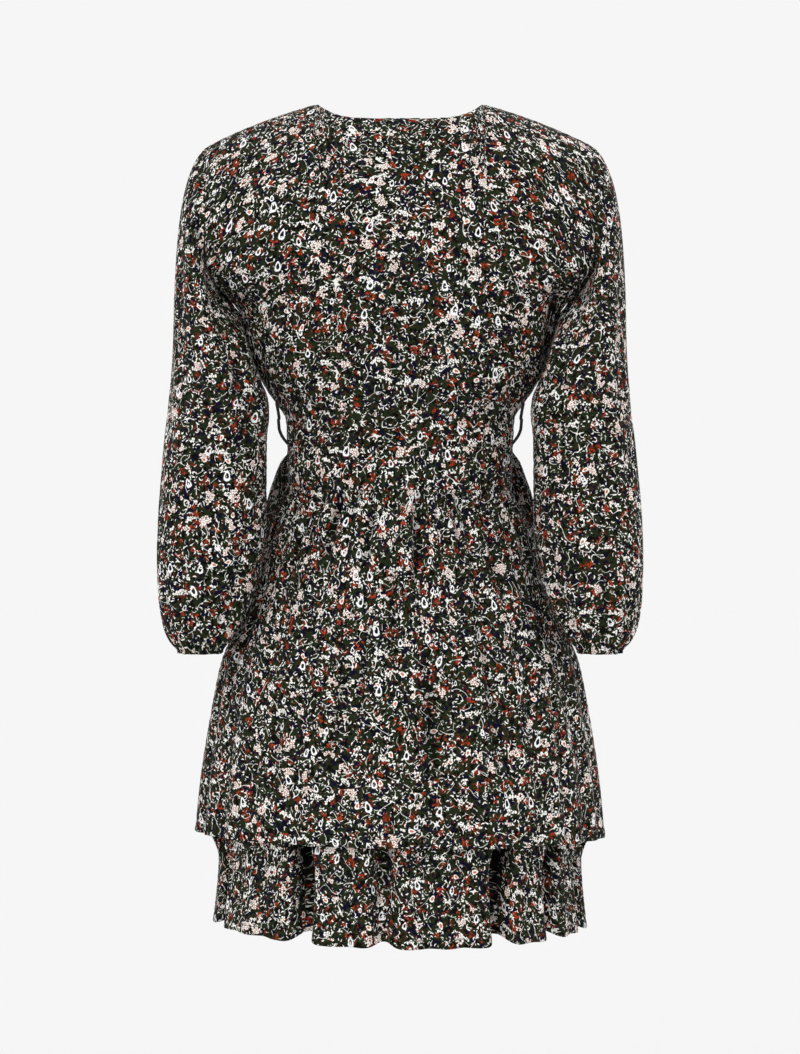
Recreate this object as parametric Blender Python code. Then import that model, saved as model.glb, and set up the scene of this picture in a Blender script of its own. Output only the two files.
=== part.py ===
"""Wrap dress with a tiered skirt and full sleeves, filled out as it is worn.

Every cut piece is one thin closed wall, and neighbouring pieces lie a seam's width apart. +X is the
wearer's left, -Y the front and +Z up. The origin lies midway between the shoulders, level with
their tips. Heights are given as drops: how far a place lies below the neck point, which is the
high end of the shoulder seam.
"""

import math

import bmesh
import bpy
import numpy as np

# Driving sizes, in metres.
WALL = 0.0015  # the cloth as a wall
SEAM_GAP = 0.0003  # between two pieces that are sewn together
NECK_POINT_Z = 0.044  # the neck point above the shoulder tips
NECK_HALF = 0.089  # from the middle to a neck point
BACK_NECK_DIP = 0.0225
NECK_SQUARENESS = 5.0  # how flat the back neckline runs before it climbs to the neck points
SHOULDER_HALF = 0.205  # from the middle to a shoulder tip
YOKE_DROP = 0.150  # where the back and the chest start to curve over the shoulders
UNDERARM_DROP = 0.222
WAIST_DROP = 0.3665
BAND_DROP = 0.4120  # the lower edge of the band in the back
TIER_SEAM_DROP = 0.7350  # where the lower tier is sewn inside the upper one
UPPER_HEM_DROP = 0.7760
LOWER_HEM_DROP = 0.8780
WRAP_ANGLE = 147  # where the right front's edge hangs below the waist, in degrees round the wearer
WRAP_HOLLOW = 0.96  # how straight the slanting edge runs, 1 being a straight line
WRAP_MARGIN = 0.43  # the left layer starts to lie deeper this far outside the right one's edge, and
WRAP_BLEND = 0.30  # does so over this distance, both as shares of the waist's half-width
WAIST_HALF = 0.121
SLEEVE_START_DROP = 0.300  # below this the sleeve's rings are level
CUFF_DROP = 0.5820

# How the parts of the mesh are divided.
SIDE_ROWS = 7  # waist seam to underarm
CURVE_ROWS = 6  # underarm to yoke, along the armhole
CAP_ROWS = 8  # yoke to shoulder seam
NECK_COLUMNS = (0, 0.42, 0.74, 0.91)  # shares of the way from the middle of the back to a neck point
SHOULDER_COLUMNS = 4  # neck point to shoulder tip
FRONT_COLUMNS = 12
SLEEVE_CAP_ROWS = 7
BAND_COLUMNS = 20


class Table:
    """Rows of sizes under named columns, read by the first column along a smooth curve."""

    def __init__(self, columns, *rows):
        self.names = columns.split()
        self.rows = np.array(rows, dtype=float)

    def column(self, name):
        return self.rows[:, self.names.index(name)]

    def read(self, name, keys):
        """The column at the given keys. The curve never overshoots a row."""
        at = self.rows[:, 0]
        values = self.column(name)
        steps = np.diff(at)
        rates = np.diff(values) / steps
        slopes = np.concatenate([rates[:1], np.zeros(len(at) - 2), rates[-1:]])
        for i in range(1, len(at) - 1):
            if rates[i - 1] * rates[i] > 0:
                slopes[i] = 2 * rates[i - 1] * rates[i] / (rates[i - 1] + rates[i])
        keys = np.clip(keys, at[0], at[-1])
        i = np.clip(np.searchsorted(at, keys, side="right") - 1, 0, len(steps) - 1)
        t = (keys - at[i]) / steps[i]
        bend = t * t * (3 - 2 * t)
        ease_out = t * (1 - t) ** 2 * slopes[i] * steps[i]
        ease_in = t * t * (t - 1) * slopes[i + 1] * steps[i]
        return values[i] * (1 - bend) + values[i + 1] * bend + ease_out + ease_in


# The bodice. The halves run from the middle to the side seam or, above the underarm, to the armhole;
# the depths run from the side plane to the middle of the back and front; arc is how far round the
# body, in degrees, a half reaches.
TORSO = Table(
    "drop back_half front_half arc back_depth front_depth",
    (YOKE_DROP, 0.2050, 0.1960, 58, 0.1050, 0.1000),
    (0.1740, 0.2040, 0.1940, 61, 0.1055, 0.1020),
    (0.1980, 0.1930, 0.1860, 72, 0.1060, 0.1120),
    (UNDERARM_DROP, 0.1720, 0.1720, 90, 0.1060, 0.1210),
    (0.2450, 0.1665, 0.1665, 90, 0.1050, 0.1250),
    (0.2800, 0.1555, 0.1555, 90, 0.1010, 0.1200),
    (0.3040, 0.1430, 0.1430, 90, 0.0980, 0.1130),
    (0.3180, 0.1335, 0.1335, 90, 0.0955, 0.1080),
    (0.3360, 0.1225, 0.1225, 90, 0.0905, 0.1000),
    (WAIST_DROP, WAIST_HALF, WAIST_HALF, 90, 0.0880, 0.0970),
)

# The skirt: the widest points of its back and front, and how far it stands out behind and before.
# Under the waist the front swells past the side seams, which the band draws in.
SKIRT = Table(
    "drop back_half front_half back_depth front_depth",
    (WAIST_DROP, WAIST_HALF, WAIST_HALF, 0.0880, 0.0970),
    (0.3800, 0.1205, 0.1360, 0.0878, 0.1030),
    (0.4000, 0.1200, 0.1455, 0.0876, 0.1090),
    (BAND_DROP, 0.1195, 0.1500, 0.0875, 0.1120),
    (0.4300, 0.1290, 0.1545, 0.0940, 0.1165),
    (0.4550, 0.1400, 0.1580, 0.1030, 0.1215),
    (0.4900, 0.1510, 0.1610, 0.1130, 0.1280),
    (0.5300, 0.1640, 0.1660, 0.1240, 0.1360),
    (0.5600, 0.1765, 0.1765, 0.1310, 0.1410),
    (0.5925, 0.1905, 0.1905, 0.1380, 0.1460),
    (0.6350, 0.1995, 0.1995, 0.1450, 0.1520),
    (0.7200, 0.2130, 0.2130, 0.1560, 0.1620),
    (UPPER_HEM_DROP, 0.2185, 0.2185, 0.1620, 0.1670),
)

# The lower tier, from its seam inside the upper one to its own hem.
RUFFLE = Table(
    "drop half back_depth front_depth",
    (TIER_SEAM_DROP, 0.2150, 0.1580, 0.1640),
    (0.7700, 0.2060, 0.1560, 0.1625),
    (0.8060, 0.1935, 0.1560, 0.1630),
    (LOWER_HEM_DROP, 0.1990, 0.1620, 0.1670),
)

# The gap between the two layers of the wrap. Low down the right one's lower tier hangs in it.
LAYERS = Table(
    "drop gap",
    (WAIST_DROP, 0.0013),
    (0.6000, 0.0030),
    (0.7000, 0.0065),
    (TIER_SEAM_DROP, 0.0085),
    (UPPER_HEM_DROP, 0.0110),
)

# The folds of both tiers, as troughs from waist to hem. Angle is where a fold runs, in degrees round
# the wearer from the middle of the back over the left side; width is half of what it spans; the other
# columns are its depth under the waist, halfway down, at the upper hem and at the lower hem.
FOLDS = Table(
    "angle width waist middle hem ruffle",
    (-76, 3.2, 0.0020, 0.0030, 0.0040, 0.014),
    (-65, 4.0, 0.0030, 0.0040, 0.0060, 0.003),
    (-54, 2.8, 0.0030, 0.0030, 0.0050, 0.018),
    (-43, 3.5, 0.0035, 0.0040, 0.0040, 0.002),
    (-32.5, 3.0, 0.0060, 0.0030, 0.0045, 0.023),
    (-19, 3.5, 0.0045, 0.0030, 0.0030, 0.003),
    (-9, 3.6, 0.0070, 0.0060, 0.0070, 0.003),
    (5, 3.2, 0.0040, 0.0030, 0.0030, 0.014),
    (15, 3.8, 0.0035, 0.0060, 0.0050, 0.002),
    (31, 3.0, 0.0045, 0.0040, 0.0060, 0.022),
    (46, 4.0, 0.0040, 0.0045, 0.0040, 0.003),
    (60, 4.0, 0.0030, 0.0040, 0.0060, 0.002),
    (74, 3.2, 0.0020, 0.0030, 0.0050, 0.015),
    (106, 3.4, 0.0020, 0.0040, 0.0060, 0.014),
    (121, 4.2, 0.0030, 0.0040, 0.0050, 0.003),
    (136, 3.2, 0.0030, 0.0050, 0.0060, 0.018),
    (152, 4.2, 0.0025, 0.0040, 0.0050, 0.003),
    (167, 3.8, 0.0030, 0.0050, 0.0060, 0.006),
    (182, 4.2, 0.0030, 0.0040, 0.0040, 0.003),
    (197, 3.8, 0.0025, 0.0050, 0.0065, 0.006),
    (212, 4.2, 0.0030, 0.0040, 0.0040, 0.004),
    (228, 3.4, 0.0030, 0.0050, 0.0060, 0.017),
    (243, 4.0, 0.0025, 0.0040, 0.0050, 0.003),
    (256, 3.2, 0.0020, 0.0030, 0.0050, 0.013),
)
FOLDS_START = 0.020  # how far below a seam the folds reach their first depth
SIDE_LIFT = 0.0060  # how much shorter the lower tier hangs at the sides than behind
HEM_TILT = 0.0035  # how much lower both hems hang at the wearer's right side than in the middle
FOLD_LIFT = 0.45  # how far a fold draws the lower hem up, for each metre of its depth
TIER_DROP_MIDDLE = 0.590  # the drop that a fold's middle depth is given for
SEAM_DIP_WIDTH = 9  # how far round, in degrees, the front swells out beside the band
RUFFLE_LEAVES = 0.738  # below this drop the lower tier leaves the inside of the upper one
RUFFLE_FREE = 0.045  # and over this distance it takes its own form

# The columns of the tiers' mesh, in degrees: at each fold, as shares of its width, and between folds.
DEEP_FOLD = 0.010
DEEP_FOLD_COLUMNS = (-1.5, -0.7, 0, 0.7, 1.5)
FOLD_COLUMNS = (-1.2, 0, 1.2)
COLUMN_NEAREST = 1.0
COLUMN_WIDEST = 8.5

# The sleeve below its cap: the ring's nearest and farthest points from the middle of the dress, how
# far behind the side plane its centre hangs, and half its depth.
SLEEVE = Table(
    "drop inner outer middle half_depth",
    (SLEEVE_START_DROP, 0.1445, 0.2430, 0.034, 0.0570),
    (0.3150, 0.1391, 0.2445, 0.034, 0.0565),
    (0.3300, 0.1375, 0.2458, 0.035, 0.0560),
    (0.3600, 0.1400, 0.2490, 0.039, 0.0555),
    (0.4000, 0.1400, 0.2520, 0.044, 0.0550),
    (0.4400, 0.1395, 0.2543, 0.048, 0.0545),
    (0.4800, 0.1425, 0.2550, 0.053, 0.0535),
    (0.5200, 0.1510, 0.2540, 0.058, 0.0515),
    (0.5450, 0.1605, 0.2510, 0.061, 0.0480),
    (0.5600, 0.1680, 0.2470, 0.064, 0.0440),
    (0.5720, 0.1765, 0.2400, 0.066, 0.0395),
    (0.5790, 0.1830, 0.2325, 0.067, 0.0360),
    (CUFF_DROP, 0.1835, 0.2320, 0.067, 0.0360),
)
SLEEVE_ROWS = (0.335, 0.375, 0.425, 0.475, 0.515, 0.542, 0.560, 0.573, CUFF_DROP)
CUFF_GATHERS = 7
CUFF_GATHER_DEPTH = 0.0022
GATHER_RISE = 0.110  # how far up the sleeve the gathers die out
UNDERARM_SLOPE = 0.28  # how fast the side seam runs in below the underarm
SLEEVE_OUT_UNDER = -0.10  # how far outwards, and not down, the sleeve leaves the underarm
SLEEVE_OUT_TOP = 0.55  # and the shoulder tip
SLEEVE_FULLNESS = 0.62  # how strongly the cap keeps that first direction
SLEEVE_HANG = 1.0  # how strongly it keeps the hang of what is below

# The drops of the rows of the skirt's mesh.
BAND_ROWS = (WAIST_DROP, 0.380, 0.396, BAND_DROP)
SKIRT_ROWS = (BAND_DROP, 0.428, 0.450, 0.485, 0.530, 0.590, 0.660, 0.715, TIER_SEAM_DROP, UPPER_HEM_DROP)
RUFFLE_ROWS = (TIER_SEAM_DROP, 0.742, 0.778, 0.810, 0.844, LOWER_HEM_DROP)

# The belt loops: where their cord runs at the side, and how far its middle stands off the bodice.
LOOP_CORD_RADIUS = 0.0012
LOOP_ACROSS = 0.843
LOOP = Table(
    "drop stand_off",
    (0.3180, 0.0015),
    (0.3220, 0.0040),
    (0.3290, 0.0082),
    (0.3370, 0.0105),
    (0.3450, 0.0104),
    (0.3520, 0.0085),
    (0.3580, 0.0048),
    (0.3620, 0.0015),
)

# The print's main colours, one for each kind of piece.
FOREST = (0.026, 0.036, 0.018)
OLIVE = (0.036, 0.044, 0.022)
NAVY = (0.024, 0.022, 0.060)
RUST = (0.110, 0.040, 0.020)
BLACK = (0.012, 0.012, 0.012)


def height(drop):
    return NECK_POINT_Z - drop


def unit(vectors):
    """The vectors at length one."""
    return vectors / np.linalg.norm(vectors, axis=-1, keepdims=True)


def smooth(t):
    """Eases from 0 to 1 as t does."""
    t = np.clip(t, 0, 1)
    return t * t * (3 - 2 * t)


def ridge_drop(x):
    """How far the shoulder's ridge lies below the neck point."""
    t = np.clip((np.abs(x) - NECK_HALF) / (SHOULDER_HALF - NECK_HALF), 0, 1)
    return NECK_POINT_Z * (0.70 * t + 0.30 * t * t)


def section(face, rise):
    """The bodice's section at a rise: its drop below the shoulder, how far up and over the yoke it is
    as an angle, how far round it reaches and its half-width."""
    level = WAIST_DROP + (YOKE_DROP - WAIST_DROP) * np.minimum(rise, 1)
    lift = math.pi / 2 * np.clip(rise - 1, 0, 1)
    arc = np.radians(TORSO.read("arc", level))
    half = TORSO.read(f"{face}_half", level)
    return level, lift, arc, half + (SHOULDER_HALF - half) * np.sin(lift)


def torso(face, across, rise):
    """Points on the outside of the bodice.

    across runs from -1 at the wearer's right edge of the back or front to 1 at the left one, and
    rise from 0 at the waist seam to 1 at the yoke and 2 on the shoulder's ridge.
    """
    level, lift, arc, half = section(face, rise)
    x = half * np.sin(across * arc) / np.sin(arc)
    y = TORSO.read(f"{face}_depth", level) * np.cos(across * arc) * np.cos(lift)
    drop = level - (level - ridge_drop(x)) * np.sin(lift)
    y = y if face == "back" else -y
    return np.stack([x, y, height(drop)], axis=-1)


def across_at(face, x, rise):
    """Where a place x metres from the middle lies between the edges."""
    level, lift, arc, half = section(face, rise)
    return np.arcsin(x * np.sin(arc) / half) / arc


def rise_at(drop):
    return (WAIST_DROP - drop) / (WAIST_DROP - YOKE_DROP)


def middle_drop(rise):
    """The drop of the chest's middle at a rise."""
    level, lift, arc, half = section("front", rise)
    return level * (1 - np.sin(lift))


def wrap_edge(drop):
    """How far past the middle the right front's slanting edge lies. It starts at the neck point."""
    reach = WAIST_HALF * math.sin(math.radians(WRAP_ANGLE))
    return -NECK_HALF + (NECK_HALF + reach) * np.clip(drop / WAIST_DROP, 0, 1) ** WRAP_HOLLOW


def under_wrap(covered, drop=0.0):
    """How far the left layer lies behind the right one, which covers it where covered is above 0."""
    return (WALL + LAYERS.read("gap", drop)) * smooth((covered + WRAP_MARGIN) / WRAP_BLEND)


def normals(surface, u, v, reach=1e-3):
    """The outward normals of surface(u, v), whose u runs across and v runs up or down."""
    along = surface(u + reach, v) - surface(u - reach, v)
    up = surface(u, v + reach) - surface(u, v - reach)
    return unit(np.cross(along, up))


def solid(name, outer, inward, colour, ring=False):
    """A wall between the outer points and the same points moved inward. A ring closes on itself."""
    rows, columns = outer.shape[:2]
    inner = outer + inward
    mesh = bmesh.new()
    out = [[mesh.verts.new(tuple(point)) for point in row] for row in outer]
    ins = [[mesh.verts.new(tuple(point)) for point in row] for row in inner]

    def quad(a, b, c, d):
        mesh.faces.new((a, b, c))
        mesh.faces.new((a, c, d))

    spans = columns if ring else columns - 1
    for i in range(rows - 1):
        for j in range(spans):
            k = (j + 1) % columns
            quad(out[i][j], out[i][k], out[i + 1][k], out[i + 1][j])
            quad(ins[i][k], ins[i][j], ins[i + 1][j], ins[i + 1][k])
    for j in range(spans):
        k = (j + 1) % columns
        quad(ins[0][j], ins[0][k], out[0][k], out[0][j])
        quad(out[-1][j], out[-1][k], ins[-1][k], ins[-1][j])
    for i in range(0 if ring else rows - 1):
        quad(out[i][0], out[i + 1][0], ins[i + 1][0], ins[i][0])
        quad(ins[i][-1], ins[i + 1][-1], out[i + 1][-1], out[i][-1])
    bmesh.ops.recalc_face_normals(mesh, faces=mesh.faces)
    data = bpy.data.meshes.new(name)
    mesh.to_mesh(data)
    mesh.free()
    data.shade_smooth()
    data.materials.append(cloth(name, colour))
    piece = bpy.data.objects.new(name, data)
    bpy.context.collection.objects.link(piece)
    return piece


def cloth(name, colour):
    """A matte woven cloth of one colour."""
    material = bpy.data.materials.new(name)
    material.use_nodes = True
    shader = material.node_tree.nodes["Principled BSDF"]
    shader.inputs["Base Color"].default_value = (*colour, 1)
    shader.inputs["Roughness"].default_value = 0.85
    shader.inputs["Metallic"].default_value = 0
    return material


def bodice_rises():
    """The rows of the bodice's mesh, from the waist seam to the shoulder's ridge."""
    underarm = rise_at(UNDERARM_DROP)
    side = np.linspace(0, underarm, SIDE_ROWS + 1)[:-1]
    curve = np.linspace(underarm, 1, CURVE_ROWS + 1)[:-1]
    return np.concatenate([side, curve, np.linspace(1, 2, CAP_ROWS + 1)])


def torso_normals(face, across, rise):
    out = normals(lambda u, v: torso(face, u, v), across, rise)
    return -out if face == "back" else out


def armhole():
    """The left armhole, as a ring from the underarm up the back and down the front.

    Returns its points, the sleeve's first direction, the outward direction that both walls take
    there, and the way from the bodice's edge to the sleeve's.
    """
    rises = bodice_rises()[SIDE_ROWS:]
    edge = np.ones(len(rises))
    back, front = torso("back", edge, rises), torso("front", edge, rises)
    points = np.concatenate([back, front[-2:0:-1]])
    body = np.concatenate(
        [torso_normals("back", edge, rises), torso_normals("front", edge, rises)[-2:0:-1]]
    )
    body[0] = unit(np.array([1, 0, -UNDERARM_SLOPE]))
    up = np.arange(len(points)) / (len(rises) - 1)
    up = np.where(up > 1, 2 - up, up)
    out = SLEEVE_OUT_UNDER + (SLEEVE_OUT_TOP - SLEEVE_OUT_UNDER) * smooth(up)
    start = unit(np.stack([out, np.zeros(len(out)), out - 1], axis=-1))
    round_ring = unit(np.roll(points, -1, axis=0) - np.roll(points, 1, axis=0))
    sleeve = unit(np.cross(round_ring, start))
    outward = unit(body + sleeve)
    step = unit(np.cross(outward, round_ring))
    step *= np.sign((step * start).sum(axis=-1, keepdims=True))
    return points, start, outward, step


def moved(points, y=0.0, z=0.0):
    return points + np.array([0, y, z])


def seat_bodice(outer, inward, face):
    """Parts a bodice panel from its neighbours at the side, shoulder and waist seams."""
    away = SEAM_GAP / 2 if face == "back" else -SEAM_GAP / 2
    outer = moved(outer, y=away)
    outer[0] = moved(outer[0], z=SEAM_GAP / 2)
    inward[0, :, 2] = 0
    inward[0] = unit(inward[0]) * WALL
    return outer, inward


def back_bodice():
    """The back, whose top edge is the neckline between the shoulder seams."""
    neck = across_at("back", NECK_HALF, 2)
    shoulder = np.linspace(neck, 1, SHOULDER_COLUMNS + 1)
    half = np.concatenate([neck * np.array(NECK_COLUMNS), shoulder])
    across = np.concatenate([-half[:0:-1], half])
    ridge = np.abs(torso("back", across, np.full(len(across), 2.0))[:, 0])
    dip = BACK_NECK_DIP * (1 - np.clip(ridge / NECK_HALF, 0, 1) ** NECK_SQUARENESS)
    top = 1 + np.arcsin(1 - dip / YOKE_DROP) * 2 / math.pi
    rises = bodice_rises()
    rise = np.where(rises[:, None] > 1, 1 + (rises[:, None] - 1) * (top - 1), rises[:, None])
    across = np.broadcast_to(across, rise.shape)
    outer = torso("back", across, rise)
    inward = -WALL * torso_normals("back", across, rise)
    inward[SIDE_ROWS:, -1] = -WALL * armhole_wall("back", 1)
    inward[SIDE_ROWS:, 0] = -WALL * armhole_wall("back", -1)
    outer, inward = seat_bodice(outer, inward, "back")
    return solid("back_bodice", outer, inward, FOREST)


def armhole_wall(face, side):
    """The wall's outward directions along a panel's armhole, from the underarm to the shoulder tip."""
    points, start, outward, step = armhole()
    if face == "front":
        outward = np.roll(outward[::-1], 1, axis=0)
    return outward[: CURVE_ROWS + CAP_ROWS + 1] * (side, 1, 1)


def front_bodice(name, side, colour):
    """A front, from its side seam and armhole to the slanting edge that is also the neckline.

    side is -1 for the right front, which is the upper layer, and 1 for the left one.
    """
    rises = bodice_rises()
    edge = across_at("front", wrap_edge(middle_drop(rises)), rises)
    share = np.linspace(0, 1, FRONT_COLUMNS + 1)
    across = -1 + (edge[:, None] + 1) * share
    rise = np.broadcast_to(rises[:, None], across.shape)
    outer = torso("front", across, rise)
    inward = -WALL * torso_normals("front", across, rise)
    inward[SIDE_ROWS:, 0] = -WALL * armhole_wall("front", -1)
    if side > 0:
        outer, inward = outer * (-1, 1, 1), inward * (-1, 1, 1)
        covered = (wrap_edge(middle_drop(rises))[:, None] - outer[..., 0]) / WAIST_HALF
        outer = outer + inward / WALL * under_wrap(covered)[..., None]
    outer, inward = seat_bodice(outer, inward, "front")
    return solid(name, outer, inward, colour)


def sleeve_ring(drop, turn):
    """Points round the left sleeve at a drop. turn is 0 on the outer side and a quarter turn behind."""
    inner, outer = SLEEVE.read("inner", drop), SLEEVE.read("outer", drop)
    gather = smooth((drop - CUFF_DROP + GATHER_RISE) / GATHER_RISE) ** 2
    draw = CUFF_GATHER_DEPTH * gather * (1 - np.cos(CUFF_GATHERS * turn))
    x = (inner + outer) / 2 + ((outer - inner) / 2 - draw) * np.cos(turn)
    y = SLEEVE.read("middle", drop) + (SLEEVE.read("half_depth", drop) - draw) * np.sin(turn)
    return np.stack([x, y, height(drop) + 0 * turn], axis=-1)


def sleeve(name, side, colour):
    """A sleeve from its armhole to the gathered wrist. side is 1 on the wearer's left."""
    points, start, outward, step = armhole()
    first = points + step * SEAM_GAP
    turn = math.pi - np.arange(len(points)) * 2 * math.pi / len(points)
    below = sleeve_ring(SLEEVE_START_DROP, turn)
    fall = unit(sleeve_ring(SLEEVE_START_DROP + 0.01, turn) - below)
    length = np.linalg.norm(below - first, axis=-1, keepdims=True)
    rows = []
    for t in np.linspace(0, 1, SLEEVE_CAP_ROWS + 1):
        bend = t * t * (3 - 2 * t)
        leave = t * (1 - t) ** 2 * SLEEVE_FULLNESS * length * start
        land = t * t * (t - 1) * SLEEVE_HANG * length * fall
        rows.append(first * (1 - bend) + below * bend + leave + land)
    rows += [sleeve_ring(drop, turn) for drop in SLEEVE_ROWS]
    outer = np.array(rows)
    along = np.roll(outer, -1, axis=1) - np.roll(outer, 1, axis=1)
    inward = -WALL * unit(np.cross(along, np.gradient(outer, axis=0)))
    inward[0] = -WALL * outward
    return solid(name, outer * (side, 1, 1), inward * (side, 1, 1), colour, ring=True)


def ellipse(angle, half, depth):
    """A level curve's points and outward directions. angle is in degrees from the middle back."""
    turn = np.radians(angle)
    x, y = half * np.sin(turn), depth * np.cos(turn)
    out = unit(np.stack([np.sin(turn) / half, np.cos(turn) / depth], axis=-1))
    return x, y, out


def folds(angle, depths):
    """How far the folds draw the cloth in. depths holds, for each fold, its depth at each point."""
    total = 0
    for fold_angle, width, depth in zip(FOLDS.column("angle"), FOLDS.column("width"), depths):
        away = (angle - fold_angle + 180) % 360 - 180
        total = total + depth * np.exp(-((away / width) ** 2))
    return total


def is_back(angle):
    return np.abs((angle + 180) % 360 - 180) <= 90


def skirt(angle, drop):
    """Points on the outside of the upper tier."""
    behind = is_back(angle)
    seam = np.abs((angle + 180) % 360 - 180) - 90
    swell = SKIRT.read("front_half", drop) - SKIRT.read("back_half", drop)
    swell = swell * (1 - np.exp(-((seam / SEAM_DIP_WIDTH) ** 2)))
    half = SKIRT.read("back_half", drop) + np.where(behind, 0, swell)
    depth = np.where(behind, SKIRT.read("back_depth", drop), SKIRT.read("front_depth", drop))
    x, y, out = ellipse(angle, half, depth)
    seam_drop = np.where(behind, BAND_DROP, WAIST_DROP)
    start = smooth((drop - seam_drop) / FOLDS_START)
    upper = np.clip((drop - seam_drop) / (TIER_DROP_MIDDLE - seam_drop), 0, 1)
    lower = np.clip((drop - TIER_DROP_MIDDLE) / (UPPER_HEM_DROP - TIER_DROP_MIDDLE), 0, 1)
    depths = []
    for waist, middle, hem in zip(FOLDS.column("waist"), FOLDS.column("middle"), FOLDS.column("hem")):
        depths.append(start * (waist + (middle - waist) * upper + (hem - middle) * lower))
    drawn = folds(angle, depths)
    lift = HEM_TILT * np.sin(np.radians(angle)) * lower**2
    return np.stack([x - out[..., 0] * drawn, y - out[..., 1] * drawn, height(drop - lift)], axis=-1)


def ruffle(angle, drop):
    """Points on the outside of the lower tier, which starts on the inside of the upper one."""
    half = RUFFLE.read("half", drop)
    depth = np.where(is_back(angle), RUFFLE.read("back_depth", drop), RUFFLE.read("front_depth", drop))
    x, y, out = ellipse(angle, half, depth)
    free = smooth((drop - RUFFLE_LEAVES) / RUFFLE_FREE)
    drawn = folds(angle, FOLDS.column("ruffle"))
    side = np.sin(np.radians(angle))
    lift = drawn * FOLD_LIFT + SIDE_LIFT * side**2 + HEM_TILT * side
    lift *= (drop - TIER_SEAM_DROP) / (LOWER_HEM_DROP - TIER_SEAM_DROP)
    own = np.stack([x - out[..., 0] * drawn, y - out[..., 1] * drawn, height(drop - lift)], axis=-1)
    sewn = skirt(angle, drop) - (WALL + SEAM_GAP) * normals(skirt, angle, drop)
    return sewn * (1 - free[..., None]) + own * free[..., None]


def columns(start, end):
    """The angles of a tier's columns between two angles, closest together in its folds."""
    angles = []
    for angle, width, depth in zip(FOLDS.column("angle"), FOLDS.column("width"), FOLDS.column("ruffle")):
        shares = DEEP_FOLD_COLUMNS if depth > DEEP_FOLD else FOLD_COLUMNS
        angles += [angle + width * share for share in shares]
    angles = [a for a in sorted(angles) if start + COLUMN_NEAREST < a < end - COLUMN_NEAREST]
    placed = [start]
    for angle in angles + [end]:
        spans = math.ceil((angle - placed[-1]) / COLUMN_WIDEST)
        placed += list(np.linspace(placed[-1], angle, spans + 1)[1:])
    return np.array(placed)


def tier(name, surface, start, end, rows, colour, seam=False, under=False):
    """A panel of the skirt between two angles, from its first row to its hem.

    seam says that the first row hangs from a seam, where the wall is level. under marks the left
    layer of the wrap. Where an edge is a side seam, the wall points straight in from the side.
    """
    angle, drop = np.meshgrid(columns(start, end), rows)
    outer = surface(angle, drop)
    inward = -WALL * normals(surface, angle, drop)
    for column, edge in ((0, start), (-1, end)):
        if edge % 180 == 90:
            inward[:, column] = (-WALL * math.sin(math.radians(edge)), 0, 0)
    if seam:
        inward[0, :, 2] = 0
        inward[0] = unit(inward[0]) * WALL
        outer[0] = moved(outer[0], z=-SEAM_GAP / 2)
    if under:
        covered = math.sin(math.radians(WRAP_ANGLE)) - np.sin(np.radians(angle))
        outer = outer + inward / WALL * under_wrap(covered, drop)[..., None]
    outer = moved(outer, y=SEAM_GAP / 2 if start < 0 else -SEAM_GAP / 2)
    return solid(name, outer, inward, colour)


def waistband():
    """The plain band between the side seams of the back."""
    angle, drop = np.meshgrid(np.linspace(-90, 90, BAND_COLUMNS + 1), BAND_ROWS)
    x, y, out = ellipse(angle, SKIRT.read("back_half", drop), SKIRT.read("back_depth", drop))
    outer = moved(np.stack([x, y, height(drop)], axis=-1), y=SEAM_GAP / 2)
    outer[0] = moved(outer[0], z=-SEAM_GAP / 2)
    outer[-1] = moved(outer[-1], z=SEAM_GAP / 2)
    inward = -WALL * np.concatenate([out, np.zeros(out.shape[:2] + (1,))], axis=-1)
    return solid("back_waistband", outer, inward, NAVY)


def belt_loop(name, side):
    """A loop of fine cord at a side seam, standing off the bodice above the waist."""
    drop = LOOP.column("drop")
    across = np.full(len(drop), LOOP_ACROSS)
    out = torso_normals("back", across, rise_at(drop))
    line = torso("back", across, rise_at(drop)) + out * LOOP.column("stand_off")[:, None]
    line = line * (side, 1, 1)
    data = bpy.data.curves.new(name, "CURVE")
    data.dimensions = "3D"
    data.bevel_depth = LOOP_CORD_RADIUS
    data.bevel_resolution = 2
    data.use_fill_caps = True
    spline = data.splines.new("POLY")
    spline.points.add(len(line) - 1)
    for point, place in zip(spline.points, line):
        point.co = (*place, 1)
    data.materials.append(cloth(name, BLACK))
    piece = bpy.data.objects.new(name, data)
    bpy.context.collection.objects.link(piece)
    return piece


def main():
    for piece in list(bpy.data.objects):
        bpy.data.objects.remove(piece, do_unlink=True)
    back_bodice()
    front_bodice("front_bodice_right", -1, FOREST)
    front_bodice("front_bodice_left", 1, OLIVE)
    for name, side in (("left", 1), ("right", -1)):
        sleeve(f"sleeve_{name}", side, OLIVE)
        belt_loop(f"belt_loop_{name}", side)
    waistband()
    front_rows = BAND_ROWS[:-1] + SKIRT_ROWS
    upper_edge, under_edge = WRAP_ANGLE, 360 - WRAP_ANGLE
    tier("back_skirt", skirt, -90, 90, SKIRT_ROWS, FOREST, seam=True)
    tier("front_skirt_right", skirt, upper_edge, 270, front_rows, FOREST, seam=True)
    tier("front_skirt_left", skirt, 90, under_edge, front_rows, OLIVE, seam=True, under=True)
    tier("back_ruffle", ruffle, -90, 90, RUFFLE_ROWS, RUST)
    tier("front_ruffle_right", ruffle, upper_edge, 270, RUFFLE_ROWS, RUST)
    tier("front_ruffle_left", ruffle, 90, under_edge, RUFFLE_ROWS, RUST, under=True)


main()
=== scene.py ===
# %% [markdown]
# # A wrap dress in printed viscose
# This lesson dresses a plain model of a wrap dress: a bodice that crosses in front, full sleeves
# gathered at the wrist, a set-in band at the back of the waist with a cord loop at each side seam,
# and a skirt of two tiers. The plain model holds every piece as a smooth stiff wall at its real
# size and place. Here each piece gets the thin cloth that stands for it: the small folds, the
# gathers, the seams that sit a little deeper than the cloth beside them, and a print that follows
# the weave.

import math

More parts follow.
